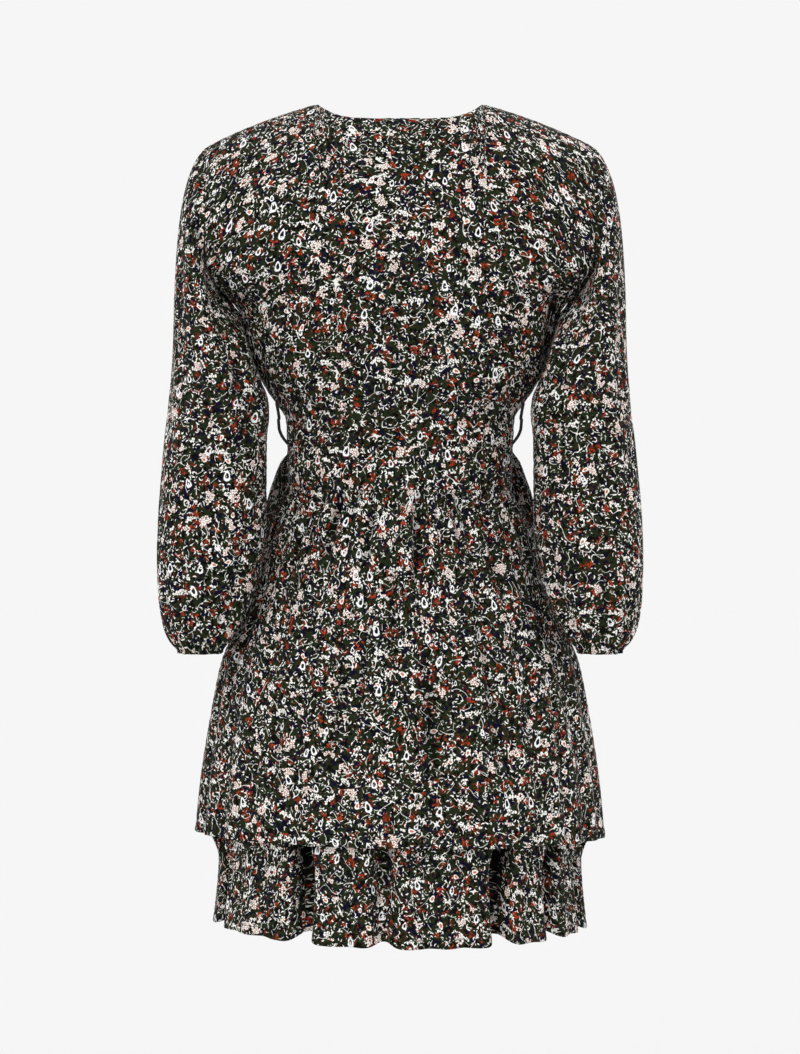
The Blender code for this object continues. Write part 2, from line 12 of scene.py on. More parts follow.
import bpy
import numpy as np
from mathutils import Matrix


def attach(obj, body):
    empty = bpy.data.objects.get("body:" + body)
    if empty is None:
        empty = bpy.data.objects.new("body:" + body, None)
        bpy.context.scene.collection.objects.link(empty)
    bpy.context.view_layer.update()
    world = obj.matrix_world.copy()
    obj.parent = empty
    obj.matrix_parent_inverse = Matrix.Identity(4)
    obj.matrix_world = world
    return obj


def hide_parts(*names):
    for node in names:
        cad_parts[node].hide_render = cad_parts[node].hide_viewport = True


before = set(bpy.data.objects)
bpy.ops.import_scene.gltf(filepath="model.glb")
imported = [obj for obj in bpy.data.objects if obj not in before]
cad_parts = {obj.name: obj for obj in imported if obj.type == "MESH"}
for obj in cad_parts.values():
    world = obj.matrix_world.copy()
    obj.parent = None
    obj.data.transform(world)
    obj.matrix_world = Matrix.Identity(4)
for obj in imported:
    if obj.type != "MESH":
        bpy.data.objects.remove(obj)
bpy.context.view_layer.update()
bpy.ops.object.select_all(action="DESELECT")
print("pieces in the plain model:", len(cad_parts))

# %% [markdown]
# ## Sizes
# A dress is measured down from its neck point, the high end of the shoulder seam. Every height
# below is such a drop, in metres, and every angle runs round the wearer from the middle of the
# back over the left side. These are the plain model's own sizes, so the cloth lands exactly on it.

# %% The dress's sizes
WALL = 0.0015  # the plain model's wall
SEAM_GAP = 0.0003
NECK_POINT_Z = 0.044
NECK_HALF = 0.089
BACK_NECK_DIP = 0.0225
NECK_SQUARENESS = 5.0
SHOULDER_HALF = 0.205
YOKE_DROP = 0.150
UNDERARM_DROP = 0.222
WAIST_DROP = 0.3665
BAND_DROP = 0.4120
TIER_SEAM_DROP = 0.7350
UPPER_HEM_DROP = 0.7760
LOWER_HEM_DROP = 0.8780
WRAP_ANGLE = 147
WRAP_HOLLOW = 0.96
WRAP_MARGIN = 0.43
WRAP_BLEND = 0.30
WAIST_HALF = 0.121
SLEEVE_START_DROP = 0.300
CUFF_DROP = 0.5820
print("neck point to hem:", LOWER_HEM_DROP, "m; shoulders:", 2 * SHOULDER_HALF, "m")

# %% [markdown]
# A short table holds each family of sections, and a smooth curve is read through its rows. The
# curve never overshoots a row, which keeps a waist from growing a bulge that nobody put there.


# %% Tables read along a smooth curve
class Table:
    """Rows of sizes under named columns, read by the first column along a smooth curve."""

    def __init__(self, columns, *rows):
        self.names = columns.split()
        self.rows = np.array(rows, dtype=float)

    def column(self, name):
        return self.rows[:, self.names.index(name)]

    def read(self, name, keys):
        at = self.rows[:, 0]
        values = self.column(name)
        steps = np.diff(at)
        rates = np.diff(values) / steps
        slopes = np.concatenate([rates[:1], np.zeros(len(at) - 2), rates[-1:]])
        for i in range(1, len(at) - 1):
            if rates[i - 1] * rates[i] > 0:
                slopes[i] = 2 * rates[i - 1] * rates[i] / (rates[i - 1] + rates[i])
        keys = np.clip(keys, at[0], at[-1])
        i = np.clip(np.searchsorted(at, keys, side="right") - 1, 0, len(steps) - 1)
        t = (keys - at[i]) / steps[i]
        bend = t * t * (3 - 2 * t)
        ease_out = t * (1 - t) ** 2 * slopes[i] * steps[i]
        ease_in = t * t * (t - 1) * slopes[i + 1] * steps[i]
        return values[i] * (1 - bend) + values[i + 1] * bend + ease_out + ease_in


TORSO = Table(
    "drop back_half front_half arc back_depth front_depth",
    (YOKE_DROP, 0.2050, 0.1960, 58, 0.1050, 0.1000),
    (0.1740, 0.2040, 0.1940, 61, 0.1055, 0.1020),
    (0.1980, 0.1930, 0.1860, 72, 0.1060, 0.1120),
    (UNDERARM_DROP, 0.1720, 0.1720, 90, 0.1060, 0.1210),
    (0.2450, 0.1665, 0.1665, 90, 0.1050, 0.1250),
    (0.2800, 0.1555, 0.1555, 90, 0.1010, 0.1200),
    (0.3040, 0.1430, 0.1430, 90, 0.0980, 0.1130),
    (0.3180, 0.1335, 0.1335, 90, 0.0955, 0.1080),
    (0.3360, 0.1225, 0.1225, 90, 0.0905, 0.1000),
    (WAIST_DROP, WAIST_HALF, WAIST_HALF, 90, 0.0880, 0.0970),
)
SKIRT = Table(
    "drop back_half front_half back_depth front_depth",
    (WAIST_DROP, WAIST_HALF, WAIST_HALF, 0.0880, 0.0970),
    (0.3800, 0.1205, 0.1360, 0.0878, 0.1030),
    (0.4000, 0.1200, 0.1455, 0.0876, 0.1090),
    (BAND_DROP, 0.1195, 0.1500, 0.0875, 0.1120),
    (0.4300, 0.1290, 0.1545, 0.0940, 0.1165),
    (0.4550, 0.1400, 0.1580, 0.1030, 0.1215),
    (0.4900, 0.1510, 0.1610, 0.1130, 0.1280),
    (0.5300, 0.1640, 0.1660, 0.1240, 0.1360),
    (0.5600, 0.1765, 0.1765, 0.1310, 0.1410),
    (0.5925, 0.1905, 0.1905, 0.1380, 0.1460),
    (0.6350, 0.1995, 0.1995, 0.1450, 0.1520),
    (0.7200, 0.2130, 0.2130, 0.1560, 0.1620),
    (UPPER_HEM_DROP, 0.2185, 0.2185, 0.1620, 0.1670),
)
RUFFLE = Table(
    "drop half back_depth front_depth",
    (TIER_SEAM_DROP, 0.2150, 0.1580, 0.1640),
    (0.7700, 0.2060, 0.1560, 0.1625),
    (0.8060, 0.1935, 0.1560, 0.1630),
    (LOWER_HEM_DROP, 0.1990, 0.1620, 0.1670),
)
LAYERS = Table(
    "drop gap",
    (WAIST_DROP, 0.0013),
    (0.6000, 0.0030),
    (0.7000, 0.0065),
    (TIER_SEAM_DROP, 0.0085),
    (UPPER_HEM_DROP, 0.0110),
)
SLEEVE = Table(
    "drop inner outer middle half_depth",
    (SLEEVE_START_DROP, 0.1445, 0.2430, 0.034, 0.0570),
    (0.3150, 0.1391, 0.2445, 0.034, 0.0565),
    (0.3300, 0.1375, 0.2458, 0.035, 0.0560),
    (0.3600, 0.1400, 0.2490, 0.039, 0.0555),
    (0.4000, 0.1400, 0.2520, 0.044, 0.0550),
    (0.4400, 0.1395, 0.2543, 0.048, 0.0545),
    (0.4800, 0.1425, 0.2550, 0.053, 0.0535),
    (0.5200, 0.1510, 0.2540, 0.058, 0.0515),
    (0.5450, 0.1605, 0.2510, 0.061, 0.0480),
    (0.5600, 0.1680, 0.2470, 0.064, 0.0440),
    (0.5720, 0.1765, 0.2400, 0.066, 0.0395),
    (0.5790, 0.1830, 0.2325, 0.067, 0.0360),
    (CUFF_DROP, 0.1835, 0.2320, 0.067, 0.0360),
)
print("rows in the bodice's table:", len(TORSO.rows), "and in the skirt's:", len(SKIRT.rows))

# %% [markdown]
# The skirt's large folds are troughs that start at the gathers and deepen towards the hem. Each
# has its own angle, width and depths, because cloth never folds twice in the same way. The widths
# are degrees and the depths millimetres. The lower tier folds much deeper than the upper one, as
# it hangs free and is gathered into its seam.

# %% The large folds
FOLDS = Table(
    "angle width waist middle hem ruffle",
    (-76, 3.2, 2, 3, 4, 14),
    (-65, 4, 3, 4, 6, 3),
    (-54, 2.8, 3, 3, 5, 18),
    (-43, 3.5, 3.5, 4, 4, 2),
    (-32.5, 3, 6, 3, 4.5, 23),
    (-19, 3.5, 4.5, 3, 3, 3),
    (-9, 3.6, 7, 6, 7, 3),
    (5, 3.2, 4, 3, 3, 14),
    (15, 3.8, 3.5, 6, 5, 2),
    (31, 3, 4.5, 4, 6, 22),
    (46, 4, 4, 4.5, 4, 3),
    (60, 4, 3, 4, 6, 2),
    (74, 3.2, 2, 3, 5, 15),
    (106, 3.4, 2, 4, 6, 14),
    (121, 4.2, 3, 4, 5, 3),
    (136, 3.2, 3, 5, 6, 18),
    (152, 4.2, 2.5, 4, 5, 3),
    (167, 3.8, 3, 5, 6, 6),
    (182, 4.2, 3, 4, 4, 3),
    (197, 3.8, 2.5, 5, 6.5, 6),
    (212, 4.2, 3, 4, 4, 4),
    (228, 3.4, 3, 5, 6, 17),
    (243, 4, 2.5, 4, 5, 3),
    (256, 3.2, 2, 3, 5, 13),
)
FOLDS_START = 0.020
SIDE_LIFT = 0.0060
HEM_TILT = 0.0035
FOLD_LIFT = 0.45
TIER_DROP_MIDDLE = 0.590
SEAM_DIP_WIDTH = 9
RUFFLE_LEAVES = 0.738
RUFFLE_FREE = 0.045
print("large folds round the skirt:", len(FOLDS.rows))

# %% [markdown]
# ## The forms as functions
# Each part of the dress is a function that gives the point of the cloth's outside for a place
# across and a place down. The mesh is only a sample of it, so it can be as fine as the small folds
# need.

# %% Small helpers for points and curves
MILLIMETRE = 0.001
NEAR = 0.001  # how far off the points lie that give a surface its direction


def height(drop):
    return NECK_POINT_Z - drop


def drop_of(points):
    return NECK_POINT_Z - points[..., 2]


def unit(vectors):
    return vectors / np.linalg.norm(vectors, axis=-1, keepdims=True)


def smooth(t):
    t = np.clip(t, 0, 1)
    return t * t * (3 - 2 * t)


def normals(surface, u, v):
    """The outward normals of surface(u, v), whose u runs across and v runs up or down."""
    along = surface(u + NEAR, v) - surface(u - NEAR, v)
    up = surface(u, v + NEAR) - surface(u, v - NEAR)
    return unit(np.cross(along, up))


print("the neck point lies at height", height(0.0), "m")

# %% The bodice's form
RIDGE_SLOPE, RIDGE_BEND = 0.70, 0.30  # the straight and the bent share of the shoulder's fall


def ridge_drop(x):
    """How far the shoulder's ridge lies below the neck point."""
    t = np.clip((np.abs(x) - NECK_HALF) / (SHOULDER_HALF - NECK_HALF), 0, 1)
    return NECK_POINT_Z * (RIDGE_SLOPE * t + RIDGE_BEND * t * t)


def section(face, rise):
    """The section at a rise: its drop, angle over the yoke, reach round the body and half-width."""
    level = WAIST_DROP + (YOKE_DROP - WAIST_DROP) * np.minimum(rise, 1)
    lift = math.pi / 2 * np.clip(rise - 1, 0, 1)
    arc = np.radians(TORSO.read("arc", level))
    half = TORSO.read(f"{face}_half", level)
    return level, lift, arc, half + (SHOULDER_HALF - half) * np.sin(lift)


def torso(face, across, rise):
    """Points on the bodice's outside. Rise is 0 at the waist, 1 at the yoke, 2 on the shoulder."""
    level, lift, arc, half = section(face, rise)
    x = half * np.sin(across * arc) / np.sin(arc)
    y = TORSO.read(f"{face}_depth", level) * np.cos(across * arc) * np.cos(lift)
    drop = level - (level - ridge_drop(x)) * np.sin(lift)
    y = y if face == "back" else -y
    return np.stack([x, y, height(drop)], axis=-1)


def torso_normals(face, across, rise):
    out = normals(lambda u, v: torso(face, u, v), across, rise)
    return -out if face == "back" else out


def across_at(face, x, rise):
    arc, half = section(face, rise)[2:]
    return np.arcsin(x * np.sin(arc) / half) / arc


def rise_at(drop):
    return (WAIST_DROP - drop) / (WAIST_DROP - YOKE_DROP)


def middle_drop(rise):
    level, lift = section("front", rise)[:2]
    return level * (1 - np.sin(lift))


def wrap_edge(drop):
    """How far past the middle the right front's slanting edge lies. It starts at the neck point."""
    reach = WAIST_HALF * math.sin(math.radians(WRAP_ANGLE))
    return -NECK_HALF + (NECK_HALF + reach) * np.clip(drop / WAIST_DROP, 0, 1) ** WRAP_HOLLOW


def under_wrap(covered, drop=0.0):
    """How far the left layer lies behind the right one, which covers it from covered = 0 on."""
    return (WALL + LAYERS.read("gap", drop)) * smooth((covered + WRAP_MARGIN) / WRAP_BLEND)


print("the side under the arm:", torso("back", 1.0, rise_at(UNDERARM_DROP)).round(3))


# %% The skirt's forms
def ellipse(angle, half, depth):
    turn = np.radians(angle)
    x, y = half * np.sin(turn), depth * np.cos(turn)
    out = unit(np.stack([np.sin(turn) / half, np.cos(turn) / depth], axis=-1))
    return x, y, out


def drawn_in(x, y, out, drawn, z):
    """Points that lie drawn in from an outline, at the heights z."""
    return np.stack([x - out[..., 0] * drawn, y - out[..., 1] * drawn, z], axis=-1)


def folds(angle, depths):
    """How far in folds of the depths given, in millimetres, draw the cloth."""
    total = 0
    for fold_angle, width, depth in zip(FOLDS.column("angle"), FOLDS.column("width"), depths):
        away = (angle - fold_angle + 180) % 360 - 180
        total = total + depth * MILLIMETRE * np.exp(-((away / width) ** 2))
    return total


def is_back(angle):
    return np.abs((angle + 180) % 360 - 180) <= 90


def skirt(angle, drop):
    """Points on the outside of the upper tier."""
    behind = is_back(angle)
    seam = np.abs((angle + 180) % 360 - 180) - 90
    swell = SKIRT.read("front_half", drop) - SKIRT.read("back_half", drop)
    swell = swell * (1 - np.exp(-((seam / SEAM_DIP_WIDTH) ** 2)))
    half = SKIRT.read("back_half", drop) + np.where(behind, 0, swell)
    depth = np.where(behind, SKIRT.read("back_depth", drop), SKIRT.read("front_depth", drop))
    x, y, out = ellipse(angle, half, depth)
    seam_drop = np.where(behind, BAND_DROP, WAIST_DROP)
    start = smooth((drop - seam_drop) / FOLDS_START)
    upper = np.clip((drop - seam_drop) / (TIER_DROP_MIDDLE - seam_drop), 0, 1)
    lower = np.clip((drop - TIER_DROP_MIDDLE) / (UPPER_HEM_DROP - TIER_DROP_MIDDLE), 0, 1)
    depths = []
    for waist, middle, hem in zip(*(FOLDS.column(name) for name in ("waist", "middle", "hem"))):
        depths.append(start * (waist + (middle - waist) * upper + (hem - middle) * lower))
    lift = HEM_TILT * np.sin(np.radians(angle)) * lower**2
    return drawn_in(x, y, out, folds(angle, depths), height(drop - lift))


def ruffle(angle, drop):
    """Points on the outside of the lower tier, which starts on the inside of the upper one."""
    back, front = RUFFLE.read("back_depth", drop), RUFFLE.read("front_depth", drop)
    x, y, out = ellipse(angle, RUFFLE.read("half", drop), np.where(is_back(angle), back, front))
    free = smooth((drop - RUFFLE_LEAVES) / RUFFLE_FREE)
    drawn = folds(angle, FOLDS.column("ruffle"))
    side = np.sin(np.radians(angle))
    lift = drawn * FOLD_LIFT + SIDE_LIFT * side**2 + HEM_TILT * side
    lift *= (drop - TIER_SEAM_DROP) / (LOWER_HEM_DROP - TIER_SEAM_DROP)
    own = drawn_in(x, y, out, drawn, height(drop - lift))
    sewn = skirt(angle, drop) - (WALL + SEAM_GAP) * normals(skirt, angle, drop)
    return sewn * (1 - free[..., None]) + own * free[..., None]


print("the upper hem behind:", skirt(0.0, UPPER_HEM_DROP).round(3))

# %% [markdown]
# ## Cloth from a grid of points
# A shell has an outside, an inside a cloth's thickness further in, and edges that close it. Two
# maps are laid on it. *cloth* is the place on the flat cloth in metres, which print and weave
# follow, and *hem* gives the way along and the distance to the nearest hem, for the stitches. Two
# values lie beside them. *inside* is 1 on the wrong side of the cloth, where a print shows paler,
# and *shadow* is 1 deep in a fold, where hardly any light reaches the threads.

# %% Shell builder
CLOTH = 0.0008  # the thickness of the cloth
FAR = 1.0  # the distance that stands for no hem or seam near


def arc_lengths(points, axis):
    """How far each point lies along its row or column, from the first one."""
    steps = np.linalg.norm(np.diff(points, axis=axis), axis=-1)
    first = np.zeros_like(np.take(steps, [0], axis=axis))
    return np.concatenate([first, np.cumsum(steps, axis=axis)], axis=axis)


def grid_faces(rows, columns, ring):
    """Index tables of a grid's faces: which row and column each corner takes."""
    spans = columns if ring else columns - 1
    i, j = np.meshgrid(np.arange(rows - 1), np.arange(spans), indexing="ij")
    i, j = i.ravel(), j.ravel()
    return np.stack([i, i, i + 1, i + 1], axis=1), np.stack([j, j + 1, j + 1, j], axis=1)


def rim_faces(rows, columns, ring):
    """The strips that join the outside to the inside: rows, columns and which of the two walls."""

    def strip(spans, first, second):
        corners = np.stack([spans + first, spans + second, spans + second, spans + first], axis=1)
        return corners, np.tile([1, 1, 0, 0], (len(spans), 1))

    strips = []
    for row, order in ((0, (0, 1)), (rows - 1, (1, 0))):
        across, wall = strip(np.arange(columns if ring else columns - 1), *order)
        strips.append((np.full_like(across, row), across, wall))
    for column, order in () if ring else ((0, (1, 0)), (columns - 1, (0, 1))):
        along, wall = strip(np.arange(rows - 1), *order)
        strips.append((along, np.full_like(along, column), wall))
    return strips


def shell(name, node, outer, inward, maps, shadow, ring):
    """A closed cloth shell. maps holds, for each map's name, its values over the grid."""
    rows, columns = outer.shape[:2]
    points = np.concatenate([outer.reshape(-1, 3), (outer + inward).reshape(-1, 3)])
    row_at, column_at = grid_faces(rows, columns, ring)
    ones = np.ones_like(row_at)
    parts = [(row_at, column_at, 0 * ones), (row_at[:, ::-1], column_at[:, ::-1], ones)]
    parts += rim_faces(rows, columns, ring)
    row_at, column_at, wall = (np.concatenate([part[k] for part in parts]) for k in range(3))
    corners = (wall * rows + row_at) * columns + column_at % columns
    a, b, c, d = (points[corners[:, k]] for k in range(4))
    volume = (np.cross(a, b) * c).sum() + (np.cross(a, c) * d).sum()
    if volume < 0:
        row_at, column_at, wall, corners = (t[:, ::-1] for t in (row_at, column_at, wall, corners))
    mesh = bpy.data.meshes.new(name)
    mesh.from_pydata(points.tolist(), [], corners.tolist())
    for map_name, values in maps.items():
        if ring:
            values = np.concatenate([values, values[:, -1:] * 2 - values[:, -2:-1]], axis=1)
        layer = mesh.uv_layers.new(name=map_name)
        layer.data.foreach_set("uv", values[row_at, column_at].ravel().astype(np.float32))
    shadow = (1 - wall) * shadow[row_at, column_at % columns]
    for value_name, values in (("inside", wall), ("shadow", shadow)):
        layer = mesh.attributes.new(value_name, "FLOAT", "CORNER")
        layer.data.foreach_set("value", values.ravel().astype(np.float32))
    mesh.shade_smooth()
    mesh.update()
    piece = bpy.data.objects.new(name, mesh)
    bpy.context.collection.objects.link(piece)
    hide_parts(node)
    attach(piece, "root")
    print(f"{name}: {len(corners)} faces")
    return piece

# %% [markdown]
# Sewing changes cloth. Along a seam two allowances pull the face down into a narrow valley, and
# the thread draws it up a little, which makes small puckers. A hem is folded twice, so it is
# thicker, with a shallow groove under its stitches. Both are worked out from the distance to the
# edge.

# %% Seams and hems as relief
SEAM_DEPTH = 0.0009
SEAM_REACH = 0.0026
PUCKER_DEPTH = 0.00045
PUCKER_REACH = 0.010
PUCKER_LENGTH = 0.0105
HEM_WIDTH = 0.0090
HEM_PLUMP = 0.00035
HEM_EDGE = 0.0012
STITCH_GROOVE = 0.00045
GROOVE_REACH = 0.0014
HEM_PUCKER = 0.7  # how deep a hem's puckers are beside a seam's
HEM_PUCKER_LENGTH = 1.6 * PUCKER_LENGTH
WANDERS = ((0.9, 1.7, 1.0), (0.7, 0.61, 2.3))  # size, pace and phase of two slow waves
WANDER = 2.2  # how far they shift the quick one


def uneven(along, length, seed):
    """A wave along an edge, from -1 to 1. Its length wanders, so it never looks like a gear."""
    wander = 0
    for size, pace, phase in WANDERS:
        wander = wander + size * np.sin(along / length * pace + phase * seed)
    return np.sin(2 * math.pi * along / length + WANDER * wander + seed)


def seam_relief(along, distance, seed):
    """How far in the cloth lies near a seam."""
    valley = SEAM_DEPTH * np.exp(-((distance / SEAM_REACH) ** 2))
    pucker = PUCKER_DEPTH * (1 + uneven(along, PUCKER_LENGTH, seed))
    return valley + pucker * np.exp(-distance / PUCKER_REACH) * smooth(distance / SEAM_REACH)


def hem_relief(along, distance, seed):
    """How far in, or out where negative, the cloth lies near a hem."""
    folded = -HEM_PLUMP * smooth((HEM_WIDTH - distance) / HEM_EDGE)
    groove = STITCH_GROOVE * np.exp(-(((distance - HEM_WIDTH) / GROOVE_REACH) ** 2))
    wave = PUCKER_DEPTH * uneven(along, HEM_PUCKER_LENGTH, seed) * np.exp(-distance / PUCKER_REACH)
    return folded + groove + HEM_PUCKER * wave


print("a seam lies in by", seam_relief(0.0, 0.0, seed=0.0), "m")

# %% [markdown]
# The folds that catch the light are placed one by one. A crease is a soft trough, or a ridge
# where its depth is negative, along a slightly bowed line that dies out at both ends. A table has
# its drops and its width, depth and bow in millimetres. Places across are millimetres or degrees,
# and *stretch* says how many metres one of them is.

# %% Creases
CREASE_COLUMNS = "start_across start end_across end width depth bow"
CREASE_ENDS = 0.35  # the share of its length over which a crease dies out at each end


def creases(table, across, drop, stretch):
    """How far in the creases of a table draw the cloth at each place."""
    total = np.zeros(np.broadcast(across, drop).shape)
    for start_across, start, end_across, end, width, depth, bow in table.rows:
        start, end, width, depth, bow = np.array([start, end, width, depth, bow]) * MILLIMETRE
        run, fall = (end_across - start_across) * stretch, end - start
        length = math.hypot(run, fall)
        right, down = (across - start_across) * stretch, drop - start
        share = (right * run + down * fall) / length**2
        away = (right * fall - down * run) / length - bow * 4 * share * (1 - share)
        fade = smooth(share / CREASE_ENDS) * smooth((1 - share) / CREASE_ENDS)
        total = total + depth * fade * np.exp(-((away / width) ** 2))
    return total


print("a crease dies out over", CREASE_ENDS, "of its length at each end")

# %% [markdown]
# Where a long edge is sewn to a shorter one, the cloth is gathered. Small tucks stand close
# together at the seam and each dies out at its own distance, so their lengths wander too.

# %% Gathers
TUCK_SHARPNESS = 1.5
TUCK_START = 0.004
LENGTH_WANDER, LENGTH_PACE = 0.55, 1.3  # how much and how fast the tucks' lengths change


def gathers(edge, spacing, depth, reach, seed):
    """How far in the tucks under a gathered edge draw the cloth."""
    along, distance = edge
    tucks = 0.5 + 0.5 * uneven(along, spacing, seed)
    lengths = reach * (1 + LENGTH_WANDER * np.sin(along / spacing * LENGTH_PACE + 4 * seed))
    fade = np.exp(-distance / lengths) * smooth(distance / TUCK_START)
    return depth * tucks**TUCK_SHARPNESS * fade


print("gathers start", TUCK_START, "m from their seam")


# %% Directions and edges of a grid
def facing(points, ring):
    """The outward directions of a grid of points. A ring faces away from its own middle."""
    if ring:
        along = np.roll(points, -1, axis=1) - np.roll(points, 1, axis=1)
        middle = points.mean(axis=1, keepdims=True)
    else:
        along = np.gradient(points, axis=1)
        middle = points * (0, 0, 1)
    out = unit(np.cross(along, np.gradient(points, axis=0)))
    return out * np.sign((out * (points - middle)).sum())


def edges_of(points):
    """For each edge of a grid, the way along it and the distance from it."""
    across, down = arc_lengths(points, 1), arc_lengths(points, 0)
    return {
        "top": (across, down),
        "bottom": (across, down[-1:] - down),
        "start": (down, across),
        "end": (down, across[:, -1:] - across),
    }


def nearest(shape, *edges):
    """The way along and the distance to the nearest of some edges, as one map."""
    along, best = np.zeros(shape), np.full(shape, FAR)
    for way, distance in edges:
        closer = distance < best
        along, best = np.where(closer, way, along), np.where(closer, distance, best)
    return np.stack([along, best], axis=-1)


print("edges of a grid:", ", ".join(edges_of(np.zeros((2, 2, 3)))))

# %% [markdown]
# A print doesn't stretch, so its map has to be as long as the cloth in every direction. A sleeve
# bends too much for lengths along its rows and columns alone. Its grid is laid out flat like a net
# of springs, and each round pulls every spring a little towards its true length.

# %% Laying a sleeve flat
FLAT_STRIDE = 6  # the flat map is eased on every sixth point
FLAT_ROUNDS = 500
SPRING_DIVISOR = 3  # a third of each pull is taken, so that the springs don't swing


def flatten(points):
    """The map of a ring of cloth, opened along its first column and eased flat."""
    points = np.concatenate([points, points[:, :1]], axis=1)
    rows, columns = points.shape[:2]
    kept_rows = np.unique(np.append(np.arange(0, rows, FLAT_STRIDE), rows - 1))
    kept_columns = np.unique(np.append(np.arange(0, columns, FLAT_STRIDE), columns - 1))
    form = points[np.ix_(kept_rows, kept_columns)]
    across, down = arc_lengths(form, 1), arc_lengths(form, 0)
    flat = np.stack([across - across[:, -1:] / 2, down[-1:] - down], axis=-1)
    for _ in range(FLAT_ROUNDS):
        moved = np.zeros_like(flat)
        for i, j in ((0, 1), (1, 0), (1, 1), (1, -1)):
            near = np.s_[: len(form) - i, max(-j, 0) : form.shape[1] - max(j, 0)]
            far = np.s_[i:, max(j, 0) : form.shape[1] + min(j, 0)]
            gap = flat[far] - flat[near]
            true = np.linalg.norm(form[far] - form[near], axis=-1, keepdims=True)
            ease = gap * (0.5 - 0.5 * true / np.linalg.norm(gap, axis=-1, keepdims=True))
            moved[near] += ease
            moved[far] -= ease
        flat += moved / SPRING_DIVISOR
    full = np.empty((rows, columns, 2))
    for k in range(2):
        wide = np.array([np.interp(np.arange(columns), kept_columns, row) for row in flat[..., k]])
        tall = [np.interp(np.arange(rows), kept_rows, column) for column in wide.T]
        full[..., k] = np.array(tall).T
    return full[:, :-1]


print("rounds of easing:", FLAT_ROUNDS)

# %% From a form to a finished piece
DEEP = 0.0085  # a fold this deep lies in its own shadow
SHADOW_SHARPNESS = 1.5
CUT_STEP = (0.413, 0.587)  # how far on along the cloth each next piece is cut
cloth_pieces = {}


def finish_cloth(
    node, outer, relief, cloth_map, sewn, hemmed, ring=False, seed=0.0, shadow=0.0
):
    """Makes a node's piece of cloth: its folds, and relief along its sewn and hemmed edges."""
    seam_map, hem_map = nearest(relief.shape, *sewn), nearest(relief.shape, *hemmed)
    # painted shade: deep folds get a shadow value that darkens their colour in the material
    shadow = np.maximum(smooth(relief / DEEP) ** SHADOW_SHARPNESS, shadow)
    relief = relief + seam_relief(seam_map[..., 0], seam_map[..., 1], seed)
    relief = relief + hem_relief(hem_map[..., 0], hem_map[..., 1], seed)
    outer = outer - facing(outer, ring) * relief[..., None]
    inward = -CLOTH * facing(outer, ring)
    cut_place = np.array(CUT_STEP) * len(cloth_pieces)
    maps = {"cloth": cloth_map + cut_place, "hem": hem_map}
    cloth_pieces[node] = shell(f"{node}_cloth", node, outer, inward, maps, shadow, ring)


print("folds in full shade:", DEEP, "m deep")

# %% [markdown]
# ## Bodice
# The back is one piece with a wide shallow neckline. The fronts slant from the neck points to the
# opposite side of the waist, and the right one lies over the left one. Their armhole edges are
# rows of points that the sleeves share, so that no light shows through the seams.

# %% The bodice's grid
SIDE_ROWS = 56
CURVE_ROWS = 36
CAP_ROWS = 48
BACK_COLUMNS = 132
FRONT_COLUMNS = 108


def bodice_rises():
    underarm = rise_at(UNDERARM_DROP)
    side = np.linspace(0, underarm, SIDE_ROWS + 1)[:-1]
    curve = np.linspace(underarm, 1, CURVE_ROWS + 1)[:-1]
    return np.concatenate([side, curve, np.linspace(1, 2, CAP_ROWS + 1)])


def apart(points, y=0.0, z=0.0):
    return points + np.array([0, y, z])


def bodice_creases(table, points):
    return creases(table, points[..., 0] / MILLIMETRE, drop_of(points), stretch=MILLIMETRE)


def middle_column(points):
    """The arc lengths across, from the column nearest the middle of the dress."""
    across = arc_lengths(points, 1)
    column = np.abs(points[0, :, 0]).argmin()
    return across - across[:, column : column + 1]


print("rows of points up the bodice:", len(bodice_rises()))

# %% The back
BACK_GATHERS = {"spacing": 0.0105, "depth": 0.0013, "reach": 0.022, "seed": 1.3}
BACK_CREASES = Table(
    CREASE_COLUMNS,
    (6, 120, -4, 352, 6.5, 4, 2),
    (-8, 150, -16, 350, 6, -1.8, 2),
    (24, 190, 16, 352, 5.5, 2.4, -2),
    (-32, 210, -22, 355, 6, 2.6, 2),
    (160, 262, 85, 355, 6.5, 2.4, 6),
    (150, 250, 70, 358, 5, 2.4, 4),
    (120, 290, 50, 362, 4.5, 2, 2),
    (-150, 262, -88, 354, 6.5, 2.6, -6),
    (-167, 186, -153, 292, 6, 6.4, -1),
    (-150, 262, -64, 360, 5, 2.5, -3),
    (-110, 296, -45, 362, 4.5, 2, -2),
    (204, 148, 184, 196, 3.6, 4.6, 1),
    (-176, 85, -170, 200, 6, 2.2, -3),
    (100, 45, 40, 80, 7, 1.8, 3),
    (-105, 48, -50, 86, 7, 1.8, -3),
    (60, 335, -50, 345, 4, 1.2, 1),
    (-100, 330, -40, 350, 4, 1.2, 1),
)


def make_back():
    across, rise = np.meshgrid(np.linspace(-1, 1, BACK_COLUMNS + 1), bodice_rises())
    ridge = np.abs(torso("back", across[:1], np.full_like(across[:1], 2.0))[..., 0])
    dip = BACK_NECK_DIP * (1 - np.clip(ridge / NECK_HALF, 0, 1) ** NECK_SQUARENESS)
    top = 1 + np.arcsin(1 - dip / YOKE_DROP) * 2 / math.pi
    rise = np.where(rise > 1, 1 + (rise - 1) * (top - 1), rise)
    outer = apart(torso("back", across, rise), y=SEAM_GAP / 2)
    edges = edges_of(outer)
    neck = np.abs(outer[-1:, :, 0]) < NECK_HALF
    shoulder = (edges["bottom"][0], np.where(neck, FAR, edges["bottom"][1]))
    neckline = (edges["bottom"][0], np.where(neck, edges["bottom"][1], FAR))
    sewn = (edges["top"], edges["start"], edges["end"], shoulder)
    relief = bodice_creases(BACK_CREASES, outer)
    relief += gathers(edges["top"], **BACK_GATHERS)
    cloth_map = np.stack([middle_column(outer), edges["top"][1]], axis=-1)
    finish_cloth("back_bodice", outer, relief, cloth_map, sewn, (neckline,))


make_back()

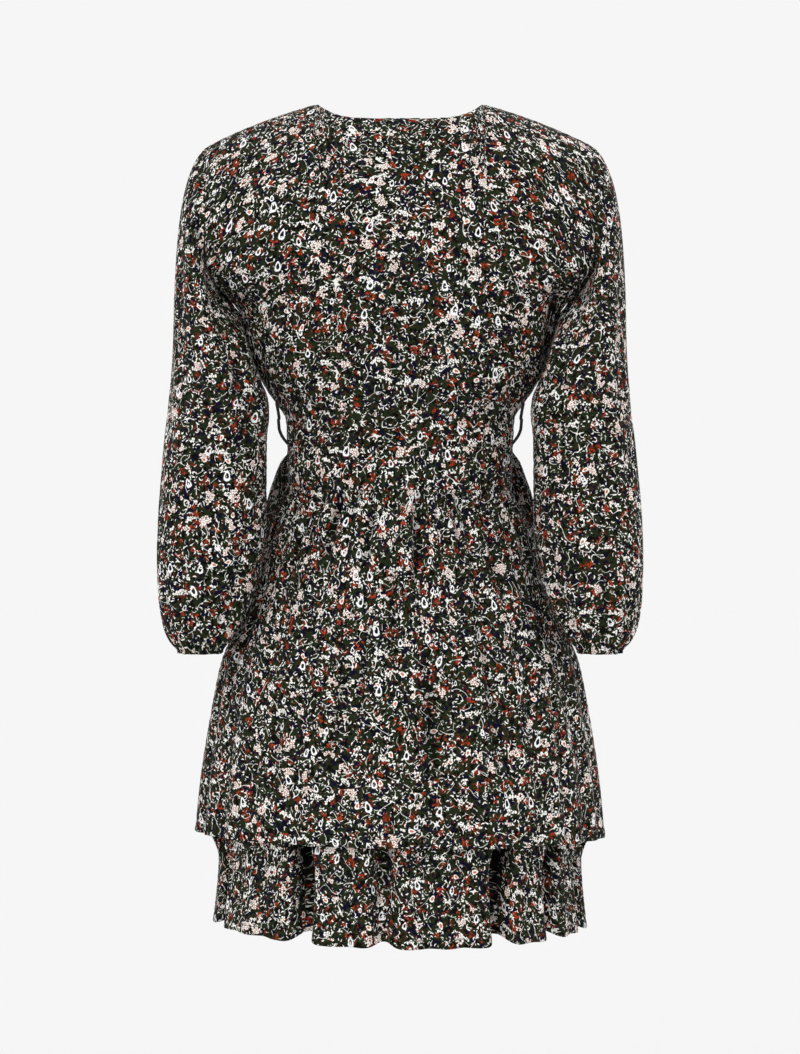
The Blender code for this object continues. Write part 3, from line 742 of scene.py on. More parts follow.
# %% The fronts
FRONT_CUT = 0.4  # how far from the middle of the cloth the fronts are cut
FRONT_GATHERS = {"spacing": 0.0100, "depth": 0.0012, "reach": 0.025, "seed": 2.1}
FRONT_CREASES = Table(
    CREASE_COLUMNS,
    (-160, 215, -60, 345, 9, 2, 6),
    (-150, 255, -50, 352, 7, 1.3, 3),
    (-135, 180, -30, 300, 10, 1.6, 10),
    (-120, 290, -20, 356, 6, 1.2, -2),
    (-180, 85, -160, 200, 9, 1.8, -4),
    (-95, 30, -70, 170, 8, 1.4, 4),
    (-75, 120, -10, 250, 7, 1.1, 4),
    (-40, 230, 30, 350, 6, 1, 2),
)


def make_front(side_name, side):
    rises = bodice_rises()
    edge = across_at("front", wrap_edge(middle_drop(rises)), rises)
    share = np.linspace(0, 1, FRONT_COLUMNS + 1)
    across = -1 + (edge[:, None] + 1) * share
    rise = np.broadcast_to(rises[:, None], across.shape)
    outer = torso("front", across, rise)
    relief = bodice_creases(FRONT_CREASES, outer)
    if side > 0:
        outer = outer * (-1, 1, 1)
        covered = (wrap_edge(middle_drop(rises))[:, None] - outer[..., 0]) / WAIST_HALF
        outer = outer - facing(outer, False) * under_wrap(covered)[..., None]
    outer = apart(outer, y=-SEAM_GAP / 2)
    edges = edges_of(outer)
    sewn = (edges["top"], edges["start"], edges["bottom"])
    relief += gathers(edges["top"], **FRONT_GATHERS)
    cloth_map = np.stack([edges["start"][1] * -side + FRONT_CUT, edges["top"][1]], axis=-1)
    finish_cloth(f"front_bodice_{side_name}", outer, relief, cloth_map, sewn, (edges["end"],))


make_front("right", -1)
make_front("left", 1)

# %% [markdown]
# ## Sleeves
# A sleeve leaves its armhole outwards, turns down over the arm and hangs wide, until a narrow
# elastic gathers it at the wrist. Its rings are taken from the armhole's own points, and below the
# cap from a table of levels. Soft folds hang from the cap, and the cloth gathers above the wrist.

# %% The sleeves' grid
SLEEVE_CAP_ROWS = 44
SLEEVE_ROWS = 100
UNDERARM_SLOPE = 0.28
SLEEVE_OUT_UNDER = -0.10
SLEEVE_OUT_TOP = 0.55
SLEEVE_FULLNESS = 0.62
SLEEVE_HANG = 1.0
CUFF_GATHERS = 7
CUFF_GATHER_DEPTH = 0.0022
GATHER_RISE = 0.110
SLEEVE_GIRTH = 0.350  # how wide the flat sleeve is
LITTLE_LOWER = 0.01  # the step down that shows how the cloth falls at a ring


def armhole():
    """The left armhole: its ring, the sleeve's first direction, the way to it, and how high up."""
    rises = bodice_rises()[SIDE_ROWS:]
    edge = np.ones(len(rises))
    points, body = (
        np.concatenate([form("back", edge, rises), form("front", edge, rises)[-2:0:-1]])
        for form in (torso, torso_normals)
    )
    body[0] = unit(np.array([1, 0, -UNDERARM_SLOPE]))
    up = np.arange(len(points)) / (len(rises) - 1)
    up = np.where(up > 1, 2 - up, up)
    out = SLEEVE_OUT_UNDER + (SLEEVE_OUT_TOP - SLEEVE_OUT_UNDER) * smooth(up)
    start = unit(np.stack([out, np.zeros(len(out)), out - 1], axis=-1))
    round_ring = unit(np.roll(points, -1, axis=0) - np.roll(points, 1, axis=0))
    outward = unit(body + unit(np.cross(round_ring, start)))
    step = unit(np.cross(outward, round_ring))
    step *= np.sign((step * start).sum(axis=-1, keepdims=True))
    return points, start, step, up


def sleeve_ring(drop, turn):
    """Points round the left sleeve at a drop. turn is 0 outside and a quarter turn behind."""
    inner, outer = SLEEVE.read("inner", drop), SLEEVE.read("outer", drop)
    gather = smooth((drop - CUFF_DROP + GATHER_RISE) / GATHER_RISE) ** 2
    draw = CUFF_GATHER_DEPTH * gather * (1 - np.cos(CUFF_GATHERS * turn))
    x = (inner + outer) / 2 + ((outer - inner) / 2 - draw) * np.cos(turn)
    y = SLEEVE.read("middle", drop) + (SLEEVE.read("half_depth", drop) - draw) * np.sin(turn)
    return np.stack([x, y, height(drop) + 0 * turn], axis=-1)


def sleeve_form():
    """The left sleeve's outside, as rings from the armhole to the wrist."""
    points, start, step, up = armhole()
    first = points + step * SEAM_GAP
    turn = math.pi - np.arange(len(points)) * 2 * math.pi / len(points)
    below = sleeve_ring(SLEEVE_START_DROP, turn)
    fall = unit(sleeve_ring(SLEEVE_START_DROP + LITTLE_LOWER, turn) - below)
    length = np.linalg.norm(below - first, axis=-1, keepdims=True)
    rows = []
    for t in np.linspace(0, 1, SLEEVE_CAP_ROWS + 1):
        bend = t * t * (3 - 2 * t)
        leave = t * (1 - t) ** 2 * SLEEVE_FULLNESS * length * start
        land = t * t * (t - 1) * SLEEVE_HANG * length * fall
        rows.append(first * (1 - bend) + below * bend + leave + land)
    drops = np.linspace(SLEEVE_START_DROP, CUFF_DROP, SLEEVE_ROWS + 1)[1:]
    rows += [sleeve_ring(drop, turn) for drop in drops]
    return np.array(rows), turn, up


print("rings and points round a sleeve:", sleeve_form()[0].shape[:2])

# %% [markdown]
# The folds of the two sleeves differ, as the arms hang a little differently. Across is the turn in
# degrees: 0 on the outer side, 90 behind, 180 against the body and -90 in front.

# %% The sleeves' folds
SLEEVE_ARC = 0.00093  # metres for each degree round the sleeve
SEAM_CLEAR = 0.014  # the folds start this far below the armhole's seam
UNDER_GATHERS = 0.25  # how deep the cap's gathers still are under the arm
CAP_GATHERS = {"spacing": 0.0095, "depth": 0.0018, "reach": 0.030, "seed": 0.7}
WRIST_GATHERS = {"spacing": 0.0085, "depth": 0.0030, "reach": 0.030, "seed": 3.1}
SLEEVE_CREASES = {
    "left": Table(
        CREASE_COLUMNS,
        (62, 116, 90, 160, 4, 5.2, 1),
        (178, 188, 140, 296, 17, -8, 0),
        (35, 100, 55, 330, 11, 3, -4),
        (110, 160, 130, 420, 10, 3.2, 6),
        (85, 230, 75, 520, 12, 3, 5),
        (150, 240, 100, 330, 8, 3.6, 5),
        (155, 300, 95, 395, 7.5, 3, 5),
        (20, 330, 60, 430, 9, 2.2, -4),
        (10, 210, 15, 480, 12, 2.2, 4),
        (130, 430, 120, 580, 8, 3.6, 2),
        (95, 470, 92, 580, 7, 3, -2),
        (60, 450, 66, 580, 8.5, 3.6, 2),
        (30, 490, 40, 580, 7, 2.6, 1),
        (-5, 470, 0, 580, 7.5, 2.8, 1),
        (-35, 120, -50, 360, 11, 2.8, 4),
        (-70, 200, -80, 500, 12, 3, -5),
        (-110, 180, -125, 430, 10, 3, 5),
        (-150, 260, -100, 340, 8, 3.4, -5),
        (-130, 440, -125, 580, 8, 3.4, 2),
        (-90, 460, -95, 580, 7.5, 3, 2),
        (-50, 470, -55, 580, 8, 3, 2),
    ),
    "right": Table(
        CREASE_COLUMNS,
        (55, 80, 70, 170, 6, 2.6, -3),
        (178, 188, 140, 296, 17, -8, 0),
        (95, 200, 120, 330, 8, 2, 5),
        (30, 150, 40, 400, 12, 2.6, 4),
        (70, 260, 88, 530, 12, 3.2, -5),
        (155, 225, 105, 325, 7.5, 3, 6),
        (158, 290, 90, 380, 7.5, 3, 4),
        (120, 330, 105, 500, 9.5, 3, 4),
        (15, 300, 50, 420, 9, 2.2, -4),
        (0, 190, -5, 460, 12, 2, 4),
        (140, 450, 132, 580, 8, 3.4, 2),
        (108, 480, 104, 580, 7, 3, -1),
        (75, 455, 80, 580, 8.5, 3.8, 2),
        (42, 480, 50, 580, 7.5, 3, 1),
        (12, 490, 18, 580, 7, 2.4, 1),
        (-20, 470, -15, 580, 8, 2.8, 1),
        (-40, 110, -55, 340, 11, 2.8, 4),
        (-75, 220, -70, 480, 12, 2.8, 5),
        (-115, 200, -120, 450, 10, 3, -5),
        (-155, 250, -105, 330, 8, 3.4, -5),
        (-125, 450, -120, 580, 8, 3.2, 2),
        (-85, 470, -88, 580, 7.5, 3, 2),
        (-55, 460, -60, 580, 8, 3.2, 2),
    ),
}
print("folds placed on the sleeves:", [len(table.rows) for table in SLEEVE_CREASES.values()])


# %% The sleeves
def make_sleeve(side_name, side):
    outer, turn, up = sleeve_form()
    down = arc_lengths(outer, 0)
    share = np.arange(len(turn)) / len(turn)
    along = np.broadcast_to(share * SLEEVE_GIRTH, down.shape)
    ring_length = np.broadcast_to(arc_lengths(outer[:1], 1), down.shape)
    seam_near = np.minimum(share, 1 - share) * SLEEVE_GIRTH
    underarm = (down, np.broadcast_to(seam_near, down.shape))
    armhole_edge, cuff = (ring_length, down), (along, down[-1:] - down)
    table, drop = SLEEVE_CREASES[side_name], drop_of(outer)
    relief = np.zeros(down.shape)
    for turned in (-360, 0, 360):
        relief += creases(table, np.degrees(turn) + turned, drop, stretch=SLEEVE_ARC)
    relief *= smooth(down / SEAM_CLEAR)
    cap_share = UNDER_GATHERS + (1 - UNDER_GATHERS) * smooth(up)
    relief += gathers(armhole_edge, **CAP_GATHERS) * cap_share
    relief += gathers(cuff, **WRIST_GATHERS)
    cloth_map = flatten(outer) * (side, 1)
    outer = outer * (side, 1, 1)
    sewn = (armhole_edge, underarm)
    name = f"sleeve_{side_name}"
    finish_cloth(name, outer, relief, cloth_map, sewn, (cuff,), ring=True, seed=side)


make_sleeve("left", 1)
make_sleeve("right", -1)

# %% [markdown]
# ## Waistband and skirt
# The band lies flat between the side seams. The tiers are gathered under it: many short tucks,
# some medium folds and the large ones of the table. All follow lines of one angle, so the two
# layers of the wrap fold together and never cross.

# %% The grids of the band and the tiers
BAND_STEP = 1.2  # degrees between the band's columns
BAND_ROW_STEP = 0.0024
TIER_STEP = 0.70
TIER_ROW_STEP = 0.0034
GATHER_ARC = 0.00175  # metres at the waist for each degree round the wearer
CLOTH_ARC = 0.00330  # metres of cloth for each degree
DEEP_FOLD = 0.023  # the ruffle's deepest fold
FOLD_CLOSING = 0.0022  # how far the walls of such a fold lean towards each other
FOLD_HEART = 0.0120  # how much deeper its middle is
SIDE_SHADE = 0.34  # how much darker the cloth is where it turns in at the side seams
TUCK_SHADE = 0.50  # and how much more the fronts are, where they tuck in behind the back
SIDE_SHADE_ANGLE = 30  # how many degrees round it reaches
TUCK_END = 0.60  # and how far down the tuck does
TUCK_FADE = 0.16


def grid(start, end, step, top, bottom, row_step):
    angles = np.linspace(start, end, round((end - start) / step) + 1)
    drops = np.linspace(top, bottom, round((bottom - top) / row_step) + 1)
    return np.meshgrid(angles, drops)


print("degrees between columns:", BAND_STEP, "and", TIER_STEP)

# %% The tiers' tucks
TIER_ARC = 0.0028  # metres for each degree at the tier's middle
TIER_TUCKS = {"spacing": 0.0080, "depth": 0.0030, "reach": 0.034, "seed": 0.4}
TIER_FOLDS = {"spacing": 0.0210, "depth": 0.0026, "reach": 0.085, "seed": 1.9}
TIER_RELIEF_FADE = 0.060
RUFFLE_TUCKS = {"spacing": 0.0165, "depth": 0.0030, "reach": 0.060, "seed": 2.6}
RUFFLE_FADE = 0.02
HEART_SHARPNESS = 1.4
HEM_EASE = 0.55  # how much of the closing is gone at the hem
SKIRT_CREASES = Table(
    CREASE_COLUMNS,
    (-9, 404, -7, 530, 4, 6, 1),
    (-24, 404, -27, 500, 4, 5, 1),
    (12, 404, 15, 520, 4.5, 4.6, 1),
    (30, 404, 34, 500, 4.2, 4.8, -1),
    (-40, 404, -44, 540, 5, 4.6, 2),
    (48, 404, 52, 560, 5, 4.6, -2),
    (3, 450, 2, 640, 5.5, 4.4, 2),
    (10, 520, 13, 660, 5, 4.8, 1),
    (16, 550, 19, 720, 5.5, 4.6, 2),
    (-8, 540, -9, 800, 5, 5.8, -2),
    (-28, 490, -30, 740, 6, 4.8, 2),
    (-60, 450, -62, 700, 7, 4.4, 3),
    (66, 460, 68, 710, 7, 4.4, -3),
    (38, 600, 36, 800, 6, 4.6, 2),
    (100, 400, 104, 640, 8, 2.4, 3),
    (128, 372, 127, 500, 5, 2.6, 1),
    (145, 372, 143, 560, 6, 2.4, 2),
    (160, 372, 158, 480, 5, 2.6, 1),
    (174, 372, 174, 600, 7, 2.2, 2),
    (190, 372, 193, 520, 5.5, 2.6, 1),
    (205, 372, 204, 620, 7, 2.2, -2),
    (220, 372, 222, 490, 5, 2.6, 1),
    (236, 372, 238, 560, 6, 2.4, 2),
    (262, 400, 258, 640, 8, 2.4, -3),
)


def tier_relief(angle, drop, seam_drop):
    """The tucks and medium folds of the upper tier."""
    edge = ((angle + 90) * GATHER_ARC, np.maximum(drop - seam_drop, 0))
    relief = gathers(edge, **TIER_TUCKS)
    relief += gathers(edge, **TIER_FOLDS)
    relief += creases(SKIRT_CREASES, angle, drop, stretch=TIER_ARC)
    return relief * smooth((TIER_SEAM_DROP - drop) / TIER_RELIEF_FADE)


def ruffle_relief(angle, drop):
    """The tucks of the lower tier, and how its deep folds close over their valleys."""
    free = smooth((drop - UPPER_HEM_DROP + RUFFLE_FADE) / RUFFLE_FADE)
    tucks = gathers(((angle + 90) * CLOTH_ARC, drop - TIER_SEAM_DROP), **RUFFLE_TUCKS)
    depth = folds(angle, FOLDS.column("ruffle")) / DEEP_FOLD
    closing = FOLD_CLOSING * np.sqrt(depth) - FOLD_HEART * depth**HEART_SHARPNESS
    shown = smooth((drop - UPPER_HEM_DROP) / (LOWER_HEM_DROP - UPPER_HEM_DROP))
    return free * (tucks - closing * (1 - HEM_EASE * shown))


print("folds placed on the upper tier:", len(SKIRT_CREASES.rows))

# %% The tiers' panels
TIER_CUT, BAND_CUT = 0.3, 0.05  # where on the cloth the tiers and the band are cut
FLARE_EASE, FLARE_REACH = 0.35, 0.12  # how much wider the cloth is at the gathers than its form


def make_tier(name, surface, start, end, waist_seam, free_edge, under):
    """A panel of a tier. free_edge names the edge that is hemmed and not sewn."""
    upper = surface is skirt
    top, bottom = (waist_seam, UPPER_HEM_DROP) if upper else (TIER_SEAM_DROP, LOWER_HEM_DROP)
    angle, drop = grid(start, end, TIER_STEP, top, bottom, TIER_ROW_STEP)
    outer = surface(angle, drop)
    relief = tier_relief(angle, drop, waist_seam) if upper else ruffle_relief(angle, drop)
    if upper:
        outer[0] = apart(outer[0], z=-SEAM_GAP / 2)
    if under:
        covered = math.sin(math.radians(WRAP_ANGLE)) - np.sin(np.radians(angle))
        outer = outer - facing(outer, False) * under_wrap(covered, drop)[..., None]
    outer = apart(outer, y=SEAM_GAP / 2 if start < 0 else -SEAM_GAP / 2)
    edges = edges_of(outer)
    sewn = [edges[edge] for edge in ("top", "start", "end") if edge != free_edge]
    hemmed = [edges["bottom"]] + ([edges[free_edge]] if free_edge else [])
    ease = 1 + FLARE_EASE * np.exp(-(drop - top) / FLARE_REACH)
    cloth_map = np.stack([middle_column(outer) * ease, -edges["top"][1] + TIER_CUT], axis=-1)
    # painted shade where the cloth turns in at the side seams, darker on the fronts that tuck in
    # behind the back
    past_seam = np.abs(np.mod(angle, 180) - 90) / SIDE_SHADE_ANGLE
    shade = SIDE_SHADE + TUCK_SHADE * smooth((TUCK_END - drop) / TUCK_FADE) * (start >= 90)
    shadow = shade * smooth(1 - past_seam)
    finish_cloth(name, outer, relief, cloth_map, sewn, hemmed, shadow=shadow)

# %% The band, and all panels
BAND_SEED = 0.9
BAND_CREASES = Table(
    CREASE_COLUMNS,
    (-60, 380, -20, 386, 3, 0.7, 1),
    (-10, 394, 35, 389, 3, 0.6, -1),
    (25, 400, 70, 392, 3, 0.7, 1),
)


def make_band():
    angle, drop = grid(-90, 90, BAND_STEP, WAIST_DROP, BAND_DROP, BAND_ROW_STEP)
    x, y = ellipse(angle, SKIRT.read("back_half", drop), SKIRT.read("back_depth", drop))[:2]
    outer = apart(np.stack([x, y, height(drop)], axis=-1), y=SEAM_GAP / 2)
    outer[0] = apart(outer[0], z=-SEAM_GAP / 2)
    outer[-1] = apart(outer[-1], z=SEAM_GAP / 2)
    edges = edges_of(outer)
    relief = creases(BAND_CREASES, angle, drop, stretch=GATHER_ARC)
    cloth_map = np.stack([middle_column(outer) + BAND_CUT, -edges["top"][1]], axis=-1)
    finish_cloth("back_waistband", outer, relief, cloth_map, edges.values(), (), seed=BAND_SEED)


PANELS = (
    ("back_{}", -90, 90, BAND_DROP, None, False),
    ("front_{}_right", WRAP_ANGLE, 270, WAIST_DROP, "start", False),
    ("front_{}_left", 90, 360 - WRAP_ANGLE, WAIST_DROP, "end", True),
)
make_band()
for tier, surface in (("skirt", skirt), ("ruffle", ruffle)):
    for name, *facts in PANELS:
        make_tier(name.format(tier), surface, *facts)

# %% [markdown]
# ## Belt loops
# Each side seam carries a loop made of thread: a thin cord of three strands twisted together,
# which stands off the bodice in a shallow bow. Three splines wind round one line, with a round
# profile.

# %% Belt loops
LOOP_ACROSS = 0.843  # where it stands, as a share of the way from the middle to the side seam
LOOP_STRANDS = 3
STRAND_RADIUS = 0.00094
STRAND_OFFSET = 0.00084
STRAND_FINENESS = 2
TWIST_LENGTH = 0.0042
LOOP_POINTS = 90
LOOP = Table(
    "drop stand_off",
    (0.3180, 0.0015),
    (0.3220, 0.0040),
    (0.3290, 0.0082),
    (0.3370, 0.0105),
    (0.3450, 0.0104),
    (0.3520, 0.0085),
    (0.3580, 0.0048),
    (0.3620, 0.0015),
)


def make_loop(side_name, side):
    drop = np.linspace(LOOP.rows[0, 0], LOOP.rows[-1, 0], LOOP_POINTS)
    across = np.full(LOOP_POINTS, LOOP_ACROSS)
    out = torso_normals("back", across, rise_at(drop))
    line = torso("back", across, rise_at(drop)) + out * LOOP.read("stand_off", drop)[:, None]
    line = line * (side, 1, 1)
    way = unit(np.gradient(line, axis=0))
    first = unit(np.cross(way, (0, 1, 0)))
    second = np.cross(way, first)
    twist = 2 * math.pi * arc_lengths(line[:, None], 0)[:, 0] / TWIST_LENGTH
    data = bpy.data.curves.new(f"belt_loop_{side_name}_cord", "CURVE")
    data.dimensions = "3D"
    data.bevel_depth = STRAND_RADIUS
    data.bevel_resolution = STRAND_FINENESS
    data.use_fill_caps = True
    for strand in range(LOOP_STRANDS):
        turn = twist + 2 * math.pi * strand / LOOP_STRANDS
        away = first * np.cos(turn)[:, None] + second * np.sin(turn)[:, None]
        points = line + STRAND_OFFSET * away
        spline = data.splines.new("POLY")
        spline.points.add(LOOP_POINTS - 1)
        spline.points.foreach_set("co", np.column_stack([points, np.ones(LOOP_POINTS)]).ravel())
    piece = bpy.data.objects.new(data.name, data)
    bpy.context.collection.objects.link(piece)
    bpy.ops.object.select_all(action="DESELECT")
    piece.select_set(True)
    bpy.context.view_layer.objects.active = piece
    bpy.ops.object.convert(target="MESH")
    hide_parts(f"belt_loop_{side_name}")
    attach(piece, "root")
    return piece


belt_loops = [make_loop("left", 1), make_loop("right", -1)]
print("belt loops:", [loop.name for loop in belt_loops])

# %% [markdown]
# ## Nodes in a few words
# Materials here are built from many small nodes. A node's output is wrapped as a value that can be
# reckoned with like a number, and each step adds one Math node, or a Vector Math node where the
# value is a place. So a formula in the code reads as a formula, and the tree is built behind it.


# %% Values of nodes
def both_ways(operation):
    """Two methods for one step of maths: the value comes first, or the other one does."""
    return (
        lambda self, other: reckon(operation, self, other),
        lambda self, other: reckon(operation, other, self),
    )


class Value:
    """A node's output that is reckoned with like a number. Each step adds a node."""

    __add__, __radd__ = both_ways("ADD")
    __sub__, __rsub__ = both_ways("SUBTRACT")
    __mul__, __rmul__ = both_ways("MULTIPLY")
    __truediv__, __rtruediv__ = both_ways("DIVIDE")
    __lt__ = both_ways("LESS_THAN")[0]
    __gt__ = both_ways("GREATER_THAN")[0]

    def __init__(self, socket):
        self.socket = socket
        self.tree = socket.id_data

    def __abs__(self):
        return reckon("ABSOLUTE", self)


class Outputs:
    """A node's outputs, each as a value."""

    def __init__(self, made):
        self.made = made

    def __getitem__(self, key):
        return Value(self.made.outputs[key])

# %% Node helpers
MIX_SOCKETS = (0, 6, 7)  # a Mix node's factor and its two colours
MIX_RESULT = 2
VECTOR_SCALE = 3  # the input of a Vector Math node that scales


def first_value(things):
    return next(thing for thing in things if isinstance(thing, Value))


def feed(made, inputs):
    """Feeds a node's inputs, with values or with plain numbers and colours."""
    for key, value in inputs.items():
        if isinstance(value, Value):
            value.tree.links.new(value.socket, made.inputs[key])
        else:
            made.inputs[key].default_value = value


def node(tree, kind, inputs, **settings):
    """Adds a node with its settings, feeds it and gives its outputs."""
    made = tree.nodes.new(kind)
    for key, value in settings.items():
        setattr(made, key, value)
    feed(made, inputs)
    return Outputs(made)


def reckon(operation, *values):
    """One step of maths, on numbers or on places."""
    first = first_value(values)
    kind = "ShaderNodeMath" if first.socket.type == "VALUE" else "ShaderNodeVectorMath"
    return node(first.tree, kind, dict(enumerate(values)), operation=operation)[0]


def scaled(place, factor):
    inputs = {0: place, VECTOR_SCALE: factor}
    return node(place.tree, "ShaderNodeVectorMath", inputs, operation="SCALE")[0]


def under(value, limit, soft):
    """1 where the value is under a limit, fading to 0 over a soft edge."""
    inputs = {"From Min": limit - soft, "From Max": limit + soft, "To Min": 1.0, "To Max": 0.0}
    return node(value.tree, "ShaderNodeMapRange", {"Value": value, **inputs})[0]


def paint(mask, below, above, blend="MIX"):
    """One colour laid over another where the mask is 1."""
    values = (mask, below, above)
    inputs = dict(zip(MIX_SOCKETS, values))
    tree = first_value(values).tree
    made = node(tree, "ShaderNodeMix", inputs, data_type="RGBA", blend_type=blend)
    return made[MIX_RESULT]


def parts(place):
    """The X and the Y of a place."""
    made = node(place.tree, "ShaderNodeSeparateXYZ", {"Vector": place})
    return made["X"], made["Y"]


def cells(place, size, stray, **settings):
    """A flat Voronoi texture with cells of about one size. Stray is how freely they lie."""
    inputs = {"Vector": place, "Scale": 1.0 / size, "Randomness": stray}
    return node(place.tree, "ShaderNodeTexVoronoi", inputs, voronoi_dimensions="2D", **settings)


def chances(cell):
    """Three random numbers of each cell, as Red, Green and Blue."""
    colour = cell["Color"]
    return node(colour.tree, "ShaderNodeSeparateColor", {"Color": colour})


def noise(place, length, detail=1.0):
    """A soft random field whose features are about so many millimetres long."""
    inputs = {"Vector": place, "Scale": 1 / length, "Detail": detail}
    return node(place.tree, "ShaderNodeTexNoise", inputs, noise_dimensions="2D")


def ink(red, green, blue):
    """A colour of a dye chart, from 0 to 255, as the shader wants it: linear, by sRGB's curve."""
    shares = [value / 255 for value in (red, green, blue)]
    linear = [s / 12.92 if s <= 0.04045 else ((s + 0.055) / 1.055) ** 2.4 for s in shares]
    return (*linear, 1.0)


print("a middle grey on the chart is", round(ink(128, 128, 128)[0], 3), "as light")

# %% [markdown]
# An effect that is used more than once is a node group, which is built once and then placed with
# its own numbers. Here a group is written as a function from what it is given to what it puts out.

# %% Node groups
SOCKET_KINDS = {
    "VALUE": "NodeSocketFloat",
    "VECTOR": "NodeSocketVector",
    "RGBA": "NodeSocketColor",
}


def group(name, inputs, make):
    """A shader node group. inputs has its defaults, and make gives its outputs, both by name."""
    tree = bpy.data.node_groups.new(name, "ShaderNodeTree")
    for socket_name, default in inputs.items():
        kind = SOCKET_KINDS["VALUE" if isinstance(default, float) else "VECTOR"]
        socket = tree.interface.new_socket(socket_name, in_out="INPUT", socket_type=kind)
        socket.default_value = default
    made = make(Outputs(tree.nodes.new("NodeGroupInput")))
    for socket_name, value in made.items():
        kind = SOCKET_KINDS[value.socket.type]
        tree.interface.new_socket(socket_name, in_out="OUTPUT", socket_type=kind)
    feed(tree.nodes.new("NodeGroupOutput"), made)
    print(f"group {name}: {len(tree.nodes)} nodes")
    return tree


def use(shared, **inputs):
    """Places a group in the tree that its inputs come from."""
    tree = first_value(inputs.values()).tree
    return node(tree, "ShaderNodeGroup", inputs, node_tree=shared)

# %% [markdown]
# ## The print
# A ditsy print is many small motifs strewn over a dark ground. The cells of a Voronoi texture
# strew them: each cell has one middle and one random colour, and that colour turns the motif,
# sizes it and decides whether it is there at all. The group below gives every motif its own place
# and turn.

# %% Group: strewn motifs
ORIGIN = (0, 0, 0)
STREWN_INPUTS = {"Place": ORIGIN, "Spacing": 10.0, "Shift": ORIGIN, "Turns": 6.283}
STRAY = 0.92


def strewn(given):
    place = given["Place"] + given["Shift"]
    cell = cells(place, given["Spacing"], STRAY)
    chance = chances(cell)
    inputs = {"Vector": place - cell["Position"], "Angle": (chance["Red"] - 0.5) * given["Turns"]}
    turned = node(place.tree, "ShaderNodeVectorRotate", inputs, rotation_type="Z_AXIS")
    return {"Local": turned[0], "Size chance": chance["Green"], "Chance": chance["Blue"]}


STREWN = group("Strewn motifs", STREWN_INPUTS, strewn)

# %% [markdown]
# Two kinds of motif share that placing. A dot is round, or long where its length says so, and
# bends a little like a leaf. A ring is the thin outline of a drop.

# %% Groups: dots and rings
MOTIF_INPUTS = {**STREWN_INPUTS, "Size": 1.0, "Share": 0.7, "Length": 2.0}
SMALLEST, SPREAD = 0.6, 0.8  # the least size of a motif, and how much may be added
LEAF_BEND = 0.45
DOT_EDGE = 0.12
DROP_POINT = 0.34  # how much a ring narrows to its tip
RING_WIDTH, RING_HOLE, RING_EDGE = 0.26, 0.8, 0.06


def strew(given):
    """A strewn motif inside another group: its X and Y, its size, if it is there, and its tint."""
    made = use(STREWN, **{key: given[key] for key in STREWN_INPUTS})
    x, y = parts(made["Local"])
    size = given["Size"] * (SMALLEST + made["Size chance"] * SPREAD)
    return x, y, size, made["Chance"] < given["Share"], made["Size chance"]


def dots(given):
    x, y, size, there, tint = strew(given)
    squared = x * x
    narrow = (y + squared * LEAF_BEND / size) * given["Length"]
    away = reckon("SQRT", squared + narrow * narrow)
    return {"Mask": under(away / size, 1.0, DOT_EDGE) * there, "Tint": tint}


def rings(given):
    x, y, size, there = strew(given)[:4]
    wide = x * given["Length"] * (1.0 + y / size * DROP_POINT)
    away = reckon("SQRT", wide * wide + y * y) / size
    line = under(abs(away - 1.0), RING_WIDTH, RING_EDGE)
    return {"Mask": line * there, "Middle": under(away, RING_HOLE, RING_EDGE) * there}


DOTS, RINGS = group("Dots", MOTIF_INPUTS, dots), group("Rings", MOTIF_INPUTS, rings)

# %% [markdown]
# A blossom is a cluster of whole petals. Petals are the cells of a finer Voronoi texture, parted
# by thin gaps, and the cluster's dot is asked at each cell's middle, so that a petal is in or out
# as a whole. Round clusters make blossoms, long ones make sprays.

# %% Group: clusters of petals
CLUSTER_INPUTS = {**MOTIF_INPUTS, "Petal": 2.6, "Gap": 0.09, "Fill": 0.68}
PETAL_EDGE = 0.3


def clusters(given):
    petals = cells(given["Place"], given["Petal"], 1.0)
    borders = cells(given["Place"], given["Petal"], 1.0, feature="DISTANCE_TO_EDGE")
    settings = {key: given[key] for key in MOTIF_INPUTS if key != "Place"}
    cluster = use(DOTS, Place=petals["Position"], **settings)["Mask"]
    chance = chances(petals)
    whole = cluster * (chance["Green"] < given["Fill"]) > 0.5
    parted = under(borders["Distance"] / given["Gap"], 1.0, PETAL_EDGE)
    return {"Mask": whole * (1.0 - parted), "Veins": whole * parted, "Petal tint": chance["Blue"]}


CLUSTERS = group("Petal clusters", CLUSTER_INPUTS, clusters)

# %% [markdown]
# The print itself stacks the motifs from the ground up: patches of dark green, charcoal and night
# blue, rust clusters, thin stems, pale specks, blossoms and sprays, and a few rings on top. A soft
# wobble of the place makes the edges ragged, as they are when a screen lays ink on loose cloth.

# %% Group: the print
FOREST = ink(32, 42, 24)
CHARCOAL = ink(9, 10, 8)
MOSS = ink(40, 38, 20)
NIGHT = ink(17, 13, 40)
RUST = ink(172, 58, 30)
BRICK = ink(112, 44, 24)
BROWN = ink(56, 40, 24)
STEM = ink(240, 241, 234)
CREAM = ink(255, 252, 246)
SAGE = ink(178, 186, 168)
BLUSH = ink(246, 226, 216)
PEACH = ink(206, 120, 88)
CHALK = ink(252, 252, 255)
FINENESS = 1.18  # how much smaller than life-size motifs the print is drawn
CRISP = 0.01  # the edge of a patch of ink
CHARCOAL_LENGTH, CHARCOAL_SHARE = 8.0, 0.465  # lengths are in millimetres
MOSS_LENGTH, MOSS_SHARE = 4.5, 0.36
STEM_WIDTH, STEM_EDGE = 0.20, 0.05
STEM_GAPS = 9.0  # how far apart the places lie where a stem stops
STEM_RUNS = ((9, 25.0, 0.47), (140, 18.0, 0.44))  # shift, length and share of each kind of stem
DENSE_LENGTH, DENSE_SHARE, DENSE_EDGE = 13.0, 0.50, 0.03  # the places with many specks
SAGE_SHARE = 0.30
WOBBLE_LENGTH = 2.6
WOBBLES = (5.0, 1.7, 0.35)  # how far patches, petals and specks are moved
